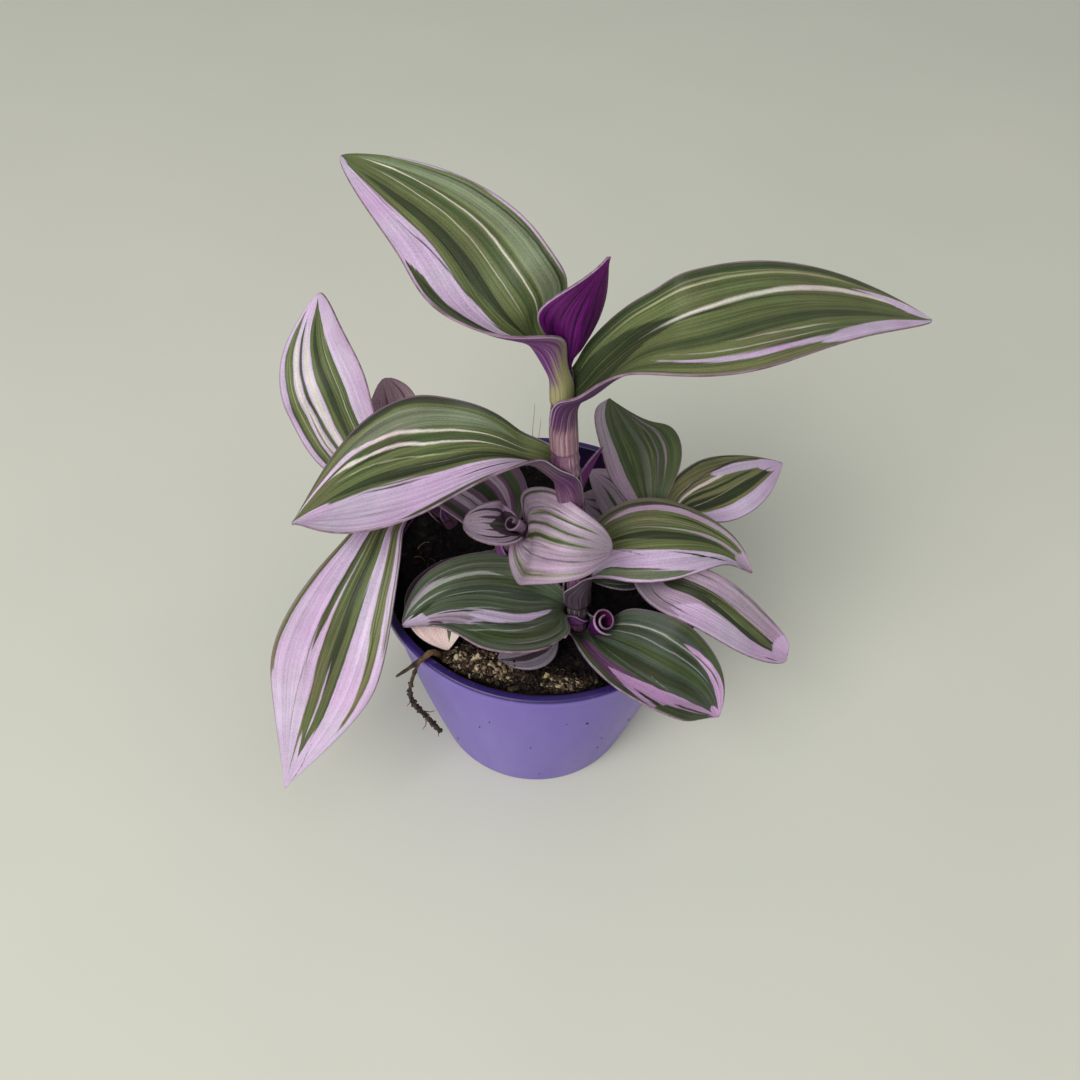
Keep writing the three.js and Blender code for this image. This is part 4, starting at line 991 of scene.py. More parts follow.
leafUnderLeft = dict(
    name="leaf_under_left", stem="rosette", sheath=(78, 82, 195, 3.1), collar=6,
    width=21, widest=0.62, fullness=0.92, folds=(40, 13, 21),
    faces=((-0.2, 0.1, 1), (-0.1, -0.1, 1)),
    blade=((-20.5, -6.5, 85.5), (-26, -12, 86.5), (-28.5, -21, 86.5), (-28, -27.5, 84), (-25.5, -33, 79.5)),
    ground="dusk",
    stripes=(
        ("silver", 0.1, 0.8, 0.1, 0.16, 0.1, 0.2, 1, 0.1), ("deep", 0, 0.8, -0.6, -0.2, -0.5, -0.2, 1, 0.2),
        ("lilac", 0.1, 0.9, 0.5, 0.8, 0.4, 0.8, 1, 0.2), ("shell", 0.7, 1.4, -1.2, 1.2, -1.2, 1.2, 1, 0.08),
        ("moss", 0.78, 0.95, -0.35, -0.15, -0.4, -0.2, 1, 0.05),
    ),
)
makeLeaf(leafUnderLeft, 38)

leafRightBack = dict(
    name="leaf_right_back", stem="right", sheath=(96.5, 98.5, 100, 2.6), collar=6,
    width=30, widest=0.66, fullness=1.05, folds=(40, 26, 8),
    faces=((-0.2, -0.7, 1), (0.7, 0.3, 1)),
    blade=((30.5, -2.5, 103.5), (28.5, 2.5, 109.5), (26.5, 10, 117), (21, 17, 121), (17, 27, 122.5)),
    ground="moss",
    stripes=(
        ("fern", 0.1, 0.95, 0.0, 0.2, 0.05, 0.3, 1, 0.2),
        ("olive", 0.2, 0.9, 0.22, 0.26, 0.5, 0.56, 2, 0.15),
        ("cream", 0.3, 0.8, 0.235, 0.25, 0.4, 0.42, 2, 0.15),
        ("mist", 0.35, 1.0, 0.54, 0.64, 0.72, 0.84, 1.5, 0.2),
        ("haze", 0.4, 0.9, 0.58, 0.62, 0.76, 0.8, 1.5, 0.15),
        ("mist", 0.3, 0.95, 0.36, 0.42, 0.56, 0.62, 1.5, 0.15),
        ("lilac", 0.05, 1.0, -1.2, -0.42, -1.2, -0.62, 1.3, 0.1),
        ("plum", 0.1, 0.6, -0.8, -0.76, -0.9, -0.86, 1, 0.1),
        ("green", 0.5, 1.0, -0.3, -0.2, -0.3, -0.15, 1, 0.1),
        ("moss", 0.1, 0.8, -0.1, -0.04, -0.15, -0.08, 1, 0.15),
    ),
)
makeLeaf(leafRightBack, 41)

leafRightFar = dict(
    name="leaf_right_far", stem="right", sheath=(102, 104, 20, 2.2), collar=6,
    width=20, widest=0.49, fullness=0.94, folds=(50, 8, 11),
    faces=((-0.1, -0.6, 1), (-0.2, -0.3, 1)),
    blade=((37.5, 0.5, 106), (41, 5.5, 105), (52, 12, 102.5), (63.5, 23, 99), (73, 31, 95)),
    ground="olive",
    stripes=(
        ("deep", 0.05, 0.9, 0.1, 0.6, 0.1, 0.34, 0.7, 0.1),
        ("cream", 0.1, 0.8, 0.42, 0.46, -0.02, 0.02, 0.6, 0.15),
        ("deep", 0.1, 0.8, -0.1, 0.04, -0.22, -0.14, 1, 0.1),
        ("green", 0.1, 0.8, -0.2, -0.1, -0.34, -0.3, 1, 0.1),
        ("white", 0.1, 0.6, -0.16, -0.06, -0.48, -0.36, 0.7, 0.08),
        ("pink", 0.44, 1.3, -0.58, -0.42, -0.8, 0.0, 0.8, 0.08),
        ("dusk", 0.12, 0.98, -0.28, -0.2, -0.94, -0.84, 0.7, 0.08),
        ("cream", 0.14, 0.6, -0.44, -0.4, -0.62, -0.59, 1, 0.1),
        ("deep", 0.1, 0.8, -0.97, -0.87, -0.97, -0.9, 1, 0.1),
        ("pink", 0, 1.3, 0.72, 1.3, 0.4, 1.3, 0.5, 0.05),
        ("pink", 0.8, 1.3, -0.7, 0.1, -1.2, 1.2, 0.7, 0.06),
        ("deep", 0.7, 0.96, 0.14, 0.24, -0.04, 0.02, 1, 0.1),
    ),
)
makeLeaf(leafRightFar, 44)

leafRightDroop = dict(
    name="leaf_right_droop", stem="right", sheath=(86, 89, -60, 3.2), collar=6,
    width=16, widest=0.42, fullness=0.42, folds=(50, 23, 36),
    faces=((0, -0.35, 1), (0.3, -0.5, 1)),
    blade=((33.5, -21, 97.5), (40.5, -24, 100), (51, -26, 94.5), (60.5, -25.5, 83.5), (74.5, -22, 68.5)),
    ground="lilac",
    stripes=(
        ("deep", 0.05, 0.97, -0.5, -0.05, -0.1, 0.6, 1.6, 0.12),
        ("green", 0.35, 0.95, -0.36, -0.1, 0.0, 0.4, 1.5, 0.2),
        ("olive", 0.15, 0.95, -0.42, -0.36, -0.2, -0.1, 1.6, 0.2),
        ("cream", 0.33, 0.7, -0.2, -0.17, 0.04, 0.07, 1, 0.08),
        ("pink", 0.7, 0.9, -0.38, -0.33, -0.16, -0.1, 1, 0.06),
        ("pink", 0.25, 1.3, 0.1, 1.2, 0.5, 1.2, 1, 0.1),
        ("plum", 0.4, 0.86, -0.96, -0.9, -0.97, -0.9, 1, 0.08),
        ("plum", 0.2, 0.42, -0.78, -0.72, -0.8, -0.75, 1, 0.08),
        ("plum", 0.1, 0.34, 0.34, 0.42, 0.68, 0.76, 1, 0.1),
        ("pink", 0.86, 1.3, -1.2, 1.2, -1.2, 1.2, 1, 0.06),
        ("plum", 0.78, 0.9, 0.72, 0.8, 0.8, 0.9, 1, 0.04),
    ),
)
makeLeaf(leafRightDroop, 47)

leafRightInner = dict(
    name="leaf_right_inner", stem="right", sheath=(92.5, 94.5, 150, 2.8), collar=5,
    width=13, widest=0.5, fullness=0.85, folds=(40, 20, 20),
    faces=((0, -0.5, 1), (0, -0.7, 1)),
    blade=((26.5, -2, 100.5), (20.5, 6.5, 106), (12.5, 13, 107)),
    ground="lilac",
    stripes=(
        ("dusk", 0, 0.9, 0.3, 0.42, 0.25, 0.35, 1, 0.15), ("dusk", 0, 0.85, 0.05, 0.12, 0.05, 0.1, 1, 0.15),
        ("moss", 0, 0.8, -0.4, -0.2, -0.35, -0.2, 1, 0.15), ("dusk", 0, 0.8, 0.65, 0.75, 0.6, 0.7, 1, 0.15),
    ),
)
makeLeaf(leafRightInner, 50)

leafRightNear = dict(
    name="leaf_right_near", stem="right", sheath=(82.5, 85, 150, 3), collar=5,
    width=17, widest=0.5, fullness=0.85, folds=(40, 20, 20),
    faces=((0, -0.5, 1), (0, -0.5, 1)),
    blade=((25, -1, 94), (19, 4.5, 99.5), (9, 9, 99)),
    ground="lilac",
    stripes=(
        ("dusk", 0, 0.95, 0.2, 0.34, 0.2, 0.3, 1, 0.15), ("silver", 0, 0.9, 0.42, 0.5, 0.4, 0.46, 1, 0.15),
        ("moss", 0, 0.85, -0.2, 0.0, -0.2, -0.05, 1, 0.15),
        ("dusk", 0, 0.85, -0.6, -0.5, -0.55, -0.48, 1, 0.15),
    ),
)
makeLeaf(leafRightNear, 53)

leafRightLow = dict(
    name="leaf_right_low", stem="right", sheath=(76.5, 79, 220, 3.1), collar=5,
    width=13, widest=0.5, fullness=0.85, folds=(40, 20, 20),
    faces=((0, 0, 1), (0, 0, 1)),
    blade=((23.5, -9, 86), (20, -11, 89), (14.5, -13, 89)),
    ground="pine",
    stripes=(
        ("silver", 0, 0.9, 0.3, 0.4, 0.25, 0.33, 1, 0.15),
        ("silver", 0, 0.9, -0.2, -0.12, -0.15, -0.1, 1, 0.15),
        ("plum", 0, 1.2, 0.7, 1.2, 0.6, 1.2, 1, 0.15),
        ("silver", 0, 0.9, -0.7, -0.62, -0.6, -0.55, 1, 0.15),
    ),
)
makeLeaf(leafRightLow, 56)

leafLeftBack = dict(
    name="leaf_left_back", stem="left", sheath=(97, 101, 150, 2.6), collar=6,
    width=32, widest=0.51, fullness=0.78, folds=(45, 54, 38),
    faces=((-0.3, -0.5, 1), (-0.9, -0.2, 1)),
    blade=((-48.5, 8, 112), (-54, 10.5, 121), (-56.5, 14.5, 131.5), (-62.5, 21.5, 139.5), (-65, 38.5, 146)),
    ground="pink",
    stripes=(
        ("green", 0, 0.98, -0.34, 0.08, -0.36, 0.16, 1, 0.15),
        ("deep", 0.1, 0.9, -0.24, -0.16, -0.28, -0.1, 1, 0.15),
        ("moss", 0.1, 0.8, 0.04, 0.14, 0.1, 0.2, 1, 0.12),
        ("white", 0.1, 0.84, -0.04, 0.0, 0.02, 0.05, 1, 0.15),
        ("white", 0, 0.88, -0.46, -0.36, -0.52, -0.4, 1, 0.12),
        ("moss", 0, 0.92, -0.54, -0.44, -0.66, -0.57, 1.2, 0.1),
        ("white", 0, 0.86, -0.66, -0.54, -0.74, -0.66, 1, 0.1),
        ("green", 0.1, 0.5, -0.67, -0.62, -0.69, -0.64, 1, 0.1),
        ("green", 0, 0.95, -0.92, -0.7, -0.88, -0.74, 1, 0.1),
        ("deep", 0, 0.9, -0.91, -0.86, -0.9, -0.86, 1, 0.1),
        ("deep", 0, 0.9, -0.74, -0.7, -0.78, -0.75, 1, 0.1),
        ("cream", 0.1, 0.85, -0.8, -0.765, -0.82, -0.8, 1, 0.15),
    ),
)
makeLeaf(leafLeftBack, 59)

leafLeftHang = dict(
    name="leaf_left_hang", stem="left", sheath=(88.5, 92.5, -115, 3.1), collar=6,
    width=30, widest=0.57, fullness=1.17, folds=(40, 14, 3), wave=(0.8, 2, 0.2),
    faces=((0.2, -0.5, 1), (0, -1, 0.7)),
    blade=(
        (-45, -7.5, 104.5), (-46, -17, 104.5), (-52, -29.5, 97), (-59, -38.5, 79.5), (-65, -43.5, 58.5),
        (-73.5, -58.5, 39),
    ),
    ground="pink",
    stripes=(
        ("olive", 0, 0.72, 0.84, 1.2, 0.94, 1.2, 1.3, 0.08),
        ("deep", 0, 0.66, 0.86, 0.9, 0.93, 0.96, 1, 0.08),
        ("green", 0, 0.56, 0.18, 0.42, 0.28, 0.38, 1.3, 0.1),
        ("deep", 0, 0.5, 0.36, 0.43, 0.32, 0.37, 1, 0.1),
        ("deep", 0.2, 0.68, 0.37, 0.42, 0.33, 0.37, 1, 0.1),
        ("olive", 0.55, 0.86, 0.33, 0.37, 0.5, 0.54, 1, 0.08),
        ("green", 0, 0.9, -0.2, 0.3, -0.32, 0.16, 0.7, 0.12),
        ("deep", 0.1, 0.7, -0.1, 0.04, -0.18, -0.02, 1, 0.15),
        ("olive", 0.5, 0.98, 0.02, 0.16, 0.22, 0.34, 2, 0.15),
        ("moss", 0.3, 0.85, -0.3, -0.22, -0.32, -0.25, 1, 0.1),
        ("pink", 0.56, 0.84, -0.1, -0.06, -0.13, -0.04, 1, 0.06),
        ("cream", 0.15, 0.56, 0.22, 0.25, 0.24, 0.27, 1, 0.1),
        ("cream", 0.2, 0.8, 0.06, 0.075, 0.05, 0.07, 1, 0.15),
        ("pink", 0.5, 0.66, 0.2, 0.26, 0.2, 0.28, 1, 0.06),
        ("olive", 0, 0.8, -0.76, -0.3, -0.88, -0.8, 0.8, 0.05),
        ("deep", 0.1, 0.6, -0.6, -0.54, -0.76, -0.72, 1, 0.1),
        ("lilac", 0.3, 0.5, -0.86, -0.8, -0.98, -0.9, 1, 0.05),
        ("olive", 0, 0.5, -0.92, -0.84, -1.0, -0.94, 1, 0.05),
        ("dusk", 0.84, 1.0, -0.4, -0.36, -1.0, -0.9, 1.6, 0.04),
    ),
)
makeLeaf(leafLeftHang, 62)

leafLeftBehind = dict(
    name="leaf_left_behind", stem="left", sheath=(80, 84, 80, 2.9), collar=6,
    width=22.5, widest=0.52, fullness=0.69, folds=(40, 27, 22),
    faces=((-0.05, -0.7, 1), (-0.4, -0.1, 1)),
    blade=((-41.5, 20.5, 101.5), (-44, 23, 110.5), (-45, 26.5, 118), (-48.5, 31.5, 122)),
    ground="rib", under=dict(blade="rib", veins="bark"),
    stripes=(
        ("moss", 0, 0.75, 0.1, 0.35, 0.05, 0.2, 1, 0.2),
        ("bark", 0, 0.97, -0.35, -0.2, -0.3, -0.15, 1, 0.2),
        ("moss", 0, 0.7, -0.9, -0.65, -0.85, -0.7, 1, 0.2), ("bark", 0, 0.97, 0.5, 0.7, 0.45, 0.6, 1, 0.2),
    ),
)
makeLeaf(leafLeftBehind, 65)

# Rolled young leaves: a sheet wound outwards from its middle, wider at the top than at the foot,
# and lower midway, where its top edge dips
rollSheet = dict(rows=24, dip=0.3, placeFrom=0.1, thickness=0.5, rimShare=0.6)


def makeRoll(roll, seed):
    foot, top = np.array(roll["foot"], float), np.array(roll["top"], float)
    axis = top - foot
    across = unit(np.cross([1.0, 0, 0], axis))
    side = np.cross(unit(axis), across)
    rows, columns = rollSheet["rows"], roll["columns"]
    surface = np.zeros((rows + 1, columns + 1, 3))
    for i in range(rows + 1):
        for j in range(columns + 1):
            wound = j / columns
            dip = rollSheet["dip"] * math.sin(math.pi * wound) ** 2 * (1 - wound)
            height = i / rows * (1 - dip)
            angle = math.radians(roll["startAngle"]) + 2 * math.pi * roll["turns"] * wound
            radius = mixed(*roll["radii"], wound) * mixed(roll["footShare"], 1, height)
            ring = across * radius * math.cos(angle) + side * radius * math.sin(angle)
            surface[i, j] = foot + axis * height + ring
    along, place = np.linspace(rollSheet["placeFrom"], 1, rows + 1), np.linspace(-1, 1, columns + 1)
    thickness = rollSheet["thickness"], rollSheet["rimShare"]
    sheetPiece(roll, surface, along, place, seed, True, thickness)


budLowRight = dict(
    name="bud_low_right", foot=(15.9, -25, 82.5), top=(18.7, -28, 91), radii=(1.5, 4.2), turns=1.5,
    startAngle=200, footShare=0.5, columns=120,
    ground="violet", under=dict(blade="wine", veins="grape", turn=(-9, -8)),
    stripes=(
        ("grape", -1, 0.85, -1.2, 1.2, -1.2, 1.2, 1, 0.1), ("pink", 0.9, 1.5, -1.2, 1.2, -1.2, 1.2, 1, 0.1),
    ),
)
makeRoll(budLowRight, 71)

rosetteRoll = dict(
    name="rosette_roll", foot=(-6.3, -14.5, 113.9), top=(-9, -17.2, 119), radii=(0.7, 2.8), turns=1.1,
    startAngle=60, footShare=0.6, columns=80,
    ground="lilac", under=dict(turn=(-9, -8)),
    stripes=(
        ("dusk", -1, 1.2, -0.3, -0.1, -0.3, -0.1, 1, 0.1), ("dusk", -1, 1.2, 0.4, 0.55, 0.4, 0.55, 1, 0.1),
    ),
)
makeRoll(rosetteRoll, 75)
print("leaves and rolls done")


# Swept rods: a ring of points is drawn on along a line, and closed at both ends. Bumps add to the
# radius by the way travelled and the angle round the rod.
def sweptRod(bm, line, radii, sides, placeLayer, bumps=None):
    line = np.array(line, float)
    tangents = unit(np.gradient(line, axis=0))
    reference = np.array([1.0, 0.0, 0.0])
    ring = bmesh.ops.create_circle(bm, cap_ends=False, segments=sides, radius=1)["verts"]
    edges = list({edge for vert in ring for edge in vert.link_edges})
    travelled = 0.0
    for k, (centre, tangent) in enumerate(zip(line, tangents)):
        if k:
            travelled += float(np.linalg.norm(line[k] - line[k - 1]))
            grown = bmesh.ops.extrude_edge_only(bm, edges=edges)["geom"]
            edges = [item for item in grown if isinstance(item, bmesh.types.BMEdge)]
            nextOf = {}
            nextRing = [item for item in grown if isinstance(item, bmesh.types.BMVert)]
            for old in ring:
                for edge in old.link_edges:
                    other = edge.other_vert(old)
                    if other in nextRing:
                        nextOf[old] = other
            ring = [nextOf[old] for old in ring]
        side = unit(reference - np.dot(reference, tangent) * tangent)
        up = np.cross(tangent, side)
        for index, vert in enumerate(ring):
            angle = 2 * math.pi * index / sides
            radius = radii[k] + (bumps(travelled, angle) if bumps else 0)
            vert.co = Vector(centre + radius * (math.cos(angle) * side + math.sin(angle) * up)) * mm
            vert[placeLayer] = (math.cos(angle), math.sin(angle), float(centre[2]) * mm)
        if k == 0:
            firstEdges = list(edges)
    for loop in (firstEdges, edges):
        bmesh.ops.holes_fill(bm, edges=loop, sides=0)
    bmesh.ops.recalc_face_normals(bm, faces=bm.faces)


# Stems: knotted rods with streaked skin, and the old dark barrel low on the main stem. The main
# stem swells between its two upper sheaths. A joint has a knot, and a neck some way below it.
stemSkin = dict(
    rows=170, sides=48, soilLevel=74, flutes=14, fluteDepth=0.05,
    knot=(0.22, 0.9), neck=(0.12, 1.2), neckBelow=2.4,
    skin=tone(122, 82, 108), dark=tone(86, 44, 80), pale=tone(188, 160, 160),
    streakStretch=(5.0, 5.0, 60.0), streakScale=1.6, glow=(2, 1, 1), gloss=(0.5, 0.34), relief=0.4,
    speckles=((0.3, (0.8, 0.8, 0.8, 1)), (0.7, (1.1, 1.1, 1.1, 1))), speckleScale=900.0,
    barrel=tone(58, 44, 52), barrelRibs=tone(128, 116, 120), barrelFrom=(81.5, 83), barrelTo=(94, 95.5),
    ribStretch=(9.0, 9.0, 20.0), ribScale=1.4,
    joints=dict(
        stem_main=(82, 94.5, 128, 146, 164), stem_rosette=(80, 96, 105),
        stem_right=(80, 88, 97), stem_left=(82, 92, 100),
    ),
)
swell = dict(height=1.55, rise=(137, 142), fall=(152, 156))


def stemMaterial(name, hasBarrel):
    constants = {"Subsurface Weight": 0.05, "Coat Weight": 0.15}
    material, tree, shader = newMaterial(name, constants, stemSkin["glow"])
    place = onSurface(tree, "stemPlace")
    dark, skin, pale = stemSkin["dark"], stemSkin["skin"], stemSkin["pale"]
    stretched = scaled(tree, place, stemSkin["streakStretch"])
    streaks = grainy(tree, stretched, stemSkin["streakScale"], 3.0, 0.6)
    colour = ramp(tree, streaks, ((0.3, dark), (0.46, skin), (0.58, skin), (0.72, pale)))
    if hasBarrel:
        height = parted(tree, place)[2]
        (lowFrom, lowTo), (highFrom, highTo) = stemSkin["barrelFrom"], stemSkin["barrelTo"]
        aboveFoot = ranged(tree, height, lowFrom * mm, lowTo * mm)
        barrel = times(tree, aboveFoot, ranged(tree, height, highTo * mm, highFrom * mm))
        ribs = grainy(tree, scaled(tree, place, stemSkin["ribStretch"]), stemSkin["ribScale"], 1.0)
        barrelTone = ramp(tree, ribs, ((0.42, stemSkin["barrel"]), (0.62, stemSkin["barrelRibs"])))
        colour = blendTones(tree, barrel, colour, barrelTone)
    speckle = ramp(tree, grainy(tree, onObject(tree), stemSkin["speckleScale"], 3.0), stemSkin["speckles"])
    colour = blendTones(tree, 1.0, colour, speckle, "MULTIPLY")
    roughness = ranged(tree, streaks, 0.3, 0.7, *stemSkin["gloss"])
    finishSkin(tree, shader, colour, roughness, streaks, stemSkin["relief"], 0.6)
    return material


def bell(distance, height, spread):
    return height * np.exp(-((distance / spread) ** 2))


def fluted(travelled, angle):
    return stemSkin["fluteDepth"] * math.cos(stemSkin["flutes"] * angle)


for stem in stems.values():
    line = softCurve(stem["points"], np.linspace(0, 1, stemSkin["rows"]))
    z, level = line[:, 2], stemSkin["soilLevel"]
    radii = mixed(*stem["radii"], np.clip((z - level) / (stem["points"][-1][2] - level), 0, 1))
    for joint in stemSkin["joints"][stem["name"]]:
        knot = bell(z - joint, *stemSkin["knot"])
        radii = radii + knot - bell(z - joint + stemSkin["neckBelow"], *stemSkin["neck"])
    if stem is stems["main"]:
        radii = radii + swell["height"] * smooth(z, *swell["rise"]) * (1 - smooth(z, *swell["fall"]))
    bm = bmesh.new()
    layer = bm.verts.layers.float_vector.new("stemPlace")
    sweptRod(bm, line, radii, stemSkin["sides"], layer, fluted)
    material = stemMaterial(stem["name"] + " skin", stem is stems["main"])
    addPiece(stem["name"] + "_fine", bm, [material], stands=(stem["name"],))
print("stems done")


# A shell turned about the pot's axis from its profile of radius and height, open until its holes
# are closed
def turnedShell(profile, segments):
    bm = bmesh.new()
    verts = [bm.verts.new((radius * mm, 0, z * mm)) for radius, z in profile]
    edges = [bm.edges.new(pair) for pair in zip(verts, verts[1:])]
    turning = dict(axis=(0, 0, 1), cent=(0, 0, 0), steps=segments, angle=2 * math.pi, use_merge=True)
    bmesh.ops.spin(bm, geom=verts + edges, **turning)
    bmesh.ops.remove_doubles(bm, verts=bm.verts, dist=1e-6)
    return bm


def closeHoles(bm):
    openEdges = [edge for edge in bm.edges if edge.is_boundary]
    if openEdges:
        bmesh.ops.holes_fill(bm, edges=openEdges, sides=0)
    bmesh.ops.recalc_face_normals(bm, faces=bm.faces)


# Pot: a smooth turned shell with its drain holes. Rounds are the radii at the base, at the rim's
# foot and at its outer and inner edge. The inside wall is painted dark within a line of height and radius, as
# painted shade.
pot = dict(
    height=82.2, rimRadius=50, rimInner=47.5, rimDepth=3.2, wallTop=48.4, base=34.3, bulge=0.9,
    wall=1.2, floor=1.6, rounds=(1.4, 0.5, 0.7, 0.6), segments=160, sharpAngle=38, axisGap=0.02,
    holes=6, holeRadius=3.5, holeCircle=22, holeSides=40, drillDepth=10,
    plastic=tone(116, 93, 180), deep=tone(103, 81, 168), flowStretch=(1.0, 1.0, 0.12), flowScale=60.0,
    # The inside tone, with its line and fade, is painted shade on the inner wall
    lip=tone(38, 22, 86), lipBelow=(1.5, 0.4), inside=tone(28, 20, 56),
    insideShadeLine=((73, 46.94), (79.5, 48.2)), insideShadeFade=(0.3, 0.5),
    dust=tone(190, 180, 200), dustScale=420.0, dustShare=0.12, gloss=(0.34, 0.46),
    ringTurns=4200.0, ringShare=0.12, grainScale=700.0, relief=0.06,
)


def wallRadius(z):
    share = min(max(z / (pot["height"] - pot["rimDepth"]), 0), 1)
    return mixed(pot["base"], pot["wallTop"], share) + pot["bulge"] * math.sin(math.pi * share)


def arcPoints(centre, radius, start, end, count):
    angles = np.radians(np.linspace(start, end, count))
    return [(centre[0] + radius * math.cos(a), centre[1] + radius * math.sin(a)) for a in angles]


def potProfile():
    edge, under, outer, inner = pot["rounds"]
    top, floor, gap = pot["height"], pot["floor"], pot["axisGap"]
    rimFoot = top - pot["rimDepth"]
    profile = [(gap, 0), (pot["base"] - 4, 0)]
    profile += arcPoints((wallRadius(edge) - edge, edge), edge, -90, -5, 7)
    profile += [(wallRadius(z), z) for z in np.linspace(edge + 0.6, rimFoot - 0.3, 26)]
    profile += arcPoints((pot["rimRadius"] - under, rimFoot + under), under, -80, 0, 5)
    profile += arcPoints((pot["rimRadius"] - outer, top - outer), outer, 0, 90, 7)
    profile += arcPoints((pot["rimInner"] + inner, top - inner), inner, 90, 180, 7)
    profile += [(wallRadius(z) - pot["wall"], z) for z in np.linspace(rimFoot - 0.8, floor + 1.2, 20)]
    return profile + [(wallRadius(0) - pot["wall"] - 1.2, floor), (gap, floor)]


potMaterial, tree, shader = newMaterial("pot plastic", {"Specular IOR Level": 0.5, "Subsurface Weight": 0.04})
place = onObject(tree)
x, y, z = parted(tree, place)
flow = grainy(tree, scaled(tree, place, pot["flowStretch"]), pot["flowScale"], 3.0)
colour = blendTones(tree, ranged(tree, flow, 0.35, 0.65, 0.0, 0.35), pot["plastic"], pot["deep"])
lipFrom, lipTo = pot["lipBelow"]
nearLip = ranged(tree, z, (pot["height"] - lipFrom) * mm, (pot["height"] - lipTo) * mm)
colour = blendTones(tree, nearLip, colour, pot["lip"])
# Painted shade: the inner wall within a line of height and radius takes the dark inside tone
across = maths(tree, "SQRT", plus(tree, maths(tree, "POWER", x, 2.0), maths(tree, "POWER", y, 2.0)))
(lowZ, lowRadius), (highZ, highRadius) = pot["insideShadeLine"]
limit = ranged(tree, z, lowZ * mm, highZ * mm, lowRadius * mm, highRadius * mm)
fadeOut, fadeUp = pot["insideShadeFade"]
paintedInsideShade = ranged(tree, minus(tree, limit, across), 0.0, fadeOut * mm)
paintedInsideShade = times(tree, paintedInsideShade, ranged(tree, z, lowZ * mm, (lowZ + fadeUp) * mm))
colour = blendTones(tree, paintedInsideShade, colour, pot["inside"])
dust = ranged(tree, grainy(tree, place, pot["dustScale"], 4.0, 0.7), 0.6, 0.78, 0.0, pot["dustShare"])
colour = blendTones(tree, dust, colour, pot["dust"])
rings = maths(tree, "SINE", times(tree, z, pot["ringTurns"]))
height = plus(tree, times(tree, rings, pot["ringShare"]), grainy(tree, place, pot["grainScale"], 3.0))
finishSkin(tree, shader, colour, ranged(tree, flow, 0.3, 0.7, *pot["gloss"]), height, pot["relief"], 0.5)

potBm = turnedShell(potProfile(), pot["segments"])
closeHoles(potBm)
potPiece = addPiece("pot_turned", potBm, [potMaterial], stands=("pot",))
drillBm = bmesh.new()
holeRadius, circle = pot["holeRadius"] * mm, pot["holeCircle"] * mm
cone = dict(cap_ends=True, segments=pot["holeSides"], radius1=holeRadius, radius2=holeRadius)
for k in range(pot["holes"]):
    angle = 2 * math.pi * k / pot["holes"]
    shift = Matrix.Translation((circle * math.cos(angle), circle * math.sin(angle), 0))
    bmesh.ops.create_cone(drillBm, depth=pot["drillDepth"] * mm, matrix=shift, **cone)
drill = bpy.data.objects.new("drill", meshFrom(drillBm, "drill"))
scene.collection.objects.link(drill)
cut = potPiece.modifiers.new("drain holes", "BOOLEAN")
cut.object = drill
cut.solver = "EXACT"
applyModifiers(potPiece)
potPiece.data.shade_smooth()
potPiece.data.set_sharp_from_angle(angle=math.radians(pot["sharpAngle"]))
bpy.data.objects.remove(drill)
print("pot done", len(potPiece.data.polygons), "faces")


def jolt(chance):
    return Vector((chance.gauss(0, 1), chance.gauss(0, 1), chance.gauss(0, 1)))


def addCrumb(bm, size, matrix, roughness, chance):
    made = bmesh.ops.create_icosphere(bm, subdivisions=1, radius=size * mm, matrix=matrix)["verts"]
    for vert in made:
        vert.co += jolt(chance) * size * roughness * mm
    return made


# A dull material whose tone follows a grain of some scale and detail, and its relief a finer one
def grainMaterial(name, look):
    material, tree, shader = newMaterial(name, {"Roughness": look["dullness"]})
    place = onObject(tree)
    colour = ramp(tree, grainy(tree, place, *look["grain"]), look["tones"])
    height = grainy(tree, place, *look["reliefGrain"]) if "reliefGrain" in look else None
    finishSkin(tree, shader, colour, None, height, look.get("relief", 0.0))
    return material


# Specks of soil on the wall: direction in degrees, height and size of each
specks = dict(
    seed=23, proud=0.1, flatness=0.35, wide=(0.6, 1.2), high=(0.5, 0.9), roughness=0.12,
    dullness=0.9, grain=(1800.0, 2.0), tones=((0.4, tone(38, 28, 24)), (0.65, tone(74, 56, 44))),
    places=(
        (-82, 77, 0.55), (-107, 57, 0.35), (-112, 49, 0.3), (-70, 58, 0.5), (-43, 35, 0.4),
        (-59, 36, 0.3), (-58, 25, 0.35), (-91, 40, 0.3), (-86, 9, 0.25), (-78, 61, 0.2), (-132, 16, 0.3),
        (40, 50, 0.3), (95, 66, 0.35), (150, 30, 0.3), (118, 12, 0.3),
    ),
)
speckBm = bmesh.new()
speckChance = random.Random(specks["seed"])
for angle, z, size in specks["places"]:
    onWall = Matrix.Translation(Vector((wallRadius(z) + specks["proud"], 0, z)) * mm)
    turned = Matrix.Rotation(math.radians(angle), 4, "Z") @ onWall
    wide, high = speckChance.uniform(*specks["wide"]), speckChance.uniform(*specks["high"])
    shaped = turned @ Matrix.Diagonal((specks["flatness"], wide, high, 1))
    made = bmesh.ops.create_icosphere(speckBm, subdivisions=2, radius=size * mm, matrix=shaped)["verts"]
    for vert in made:
        aside = Vector((0, speckChance.gauss(0, 1), speckChance.gauss(0, 1)))
        vert.co += aside * size * specks["roughness"] * mm
addPiece("pot_specks", speckBm, [grainMaterial("specks of soil", specks)])

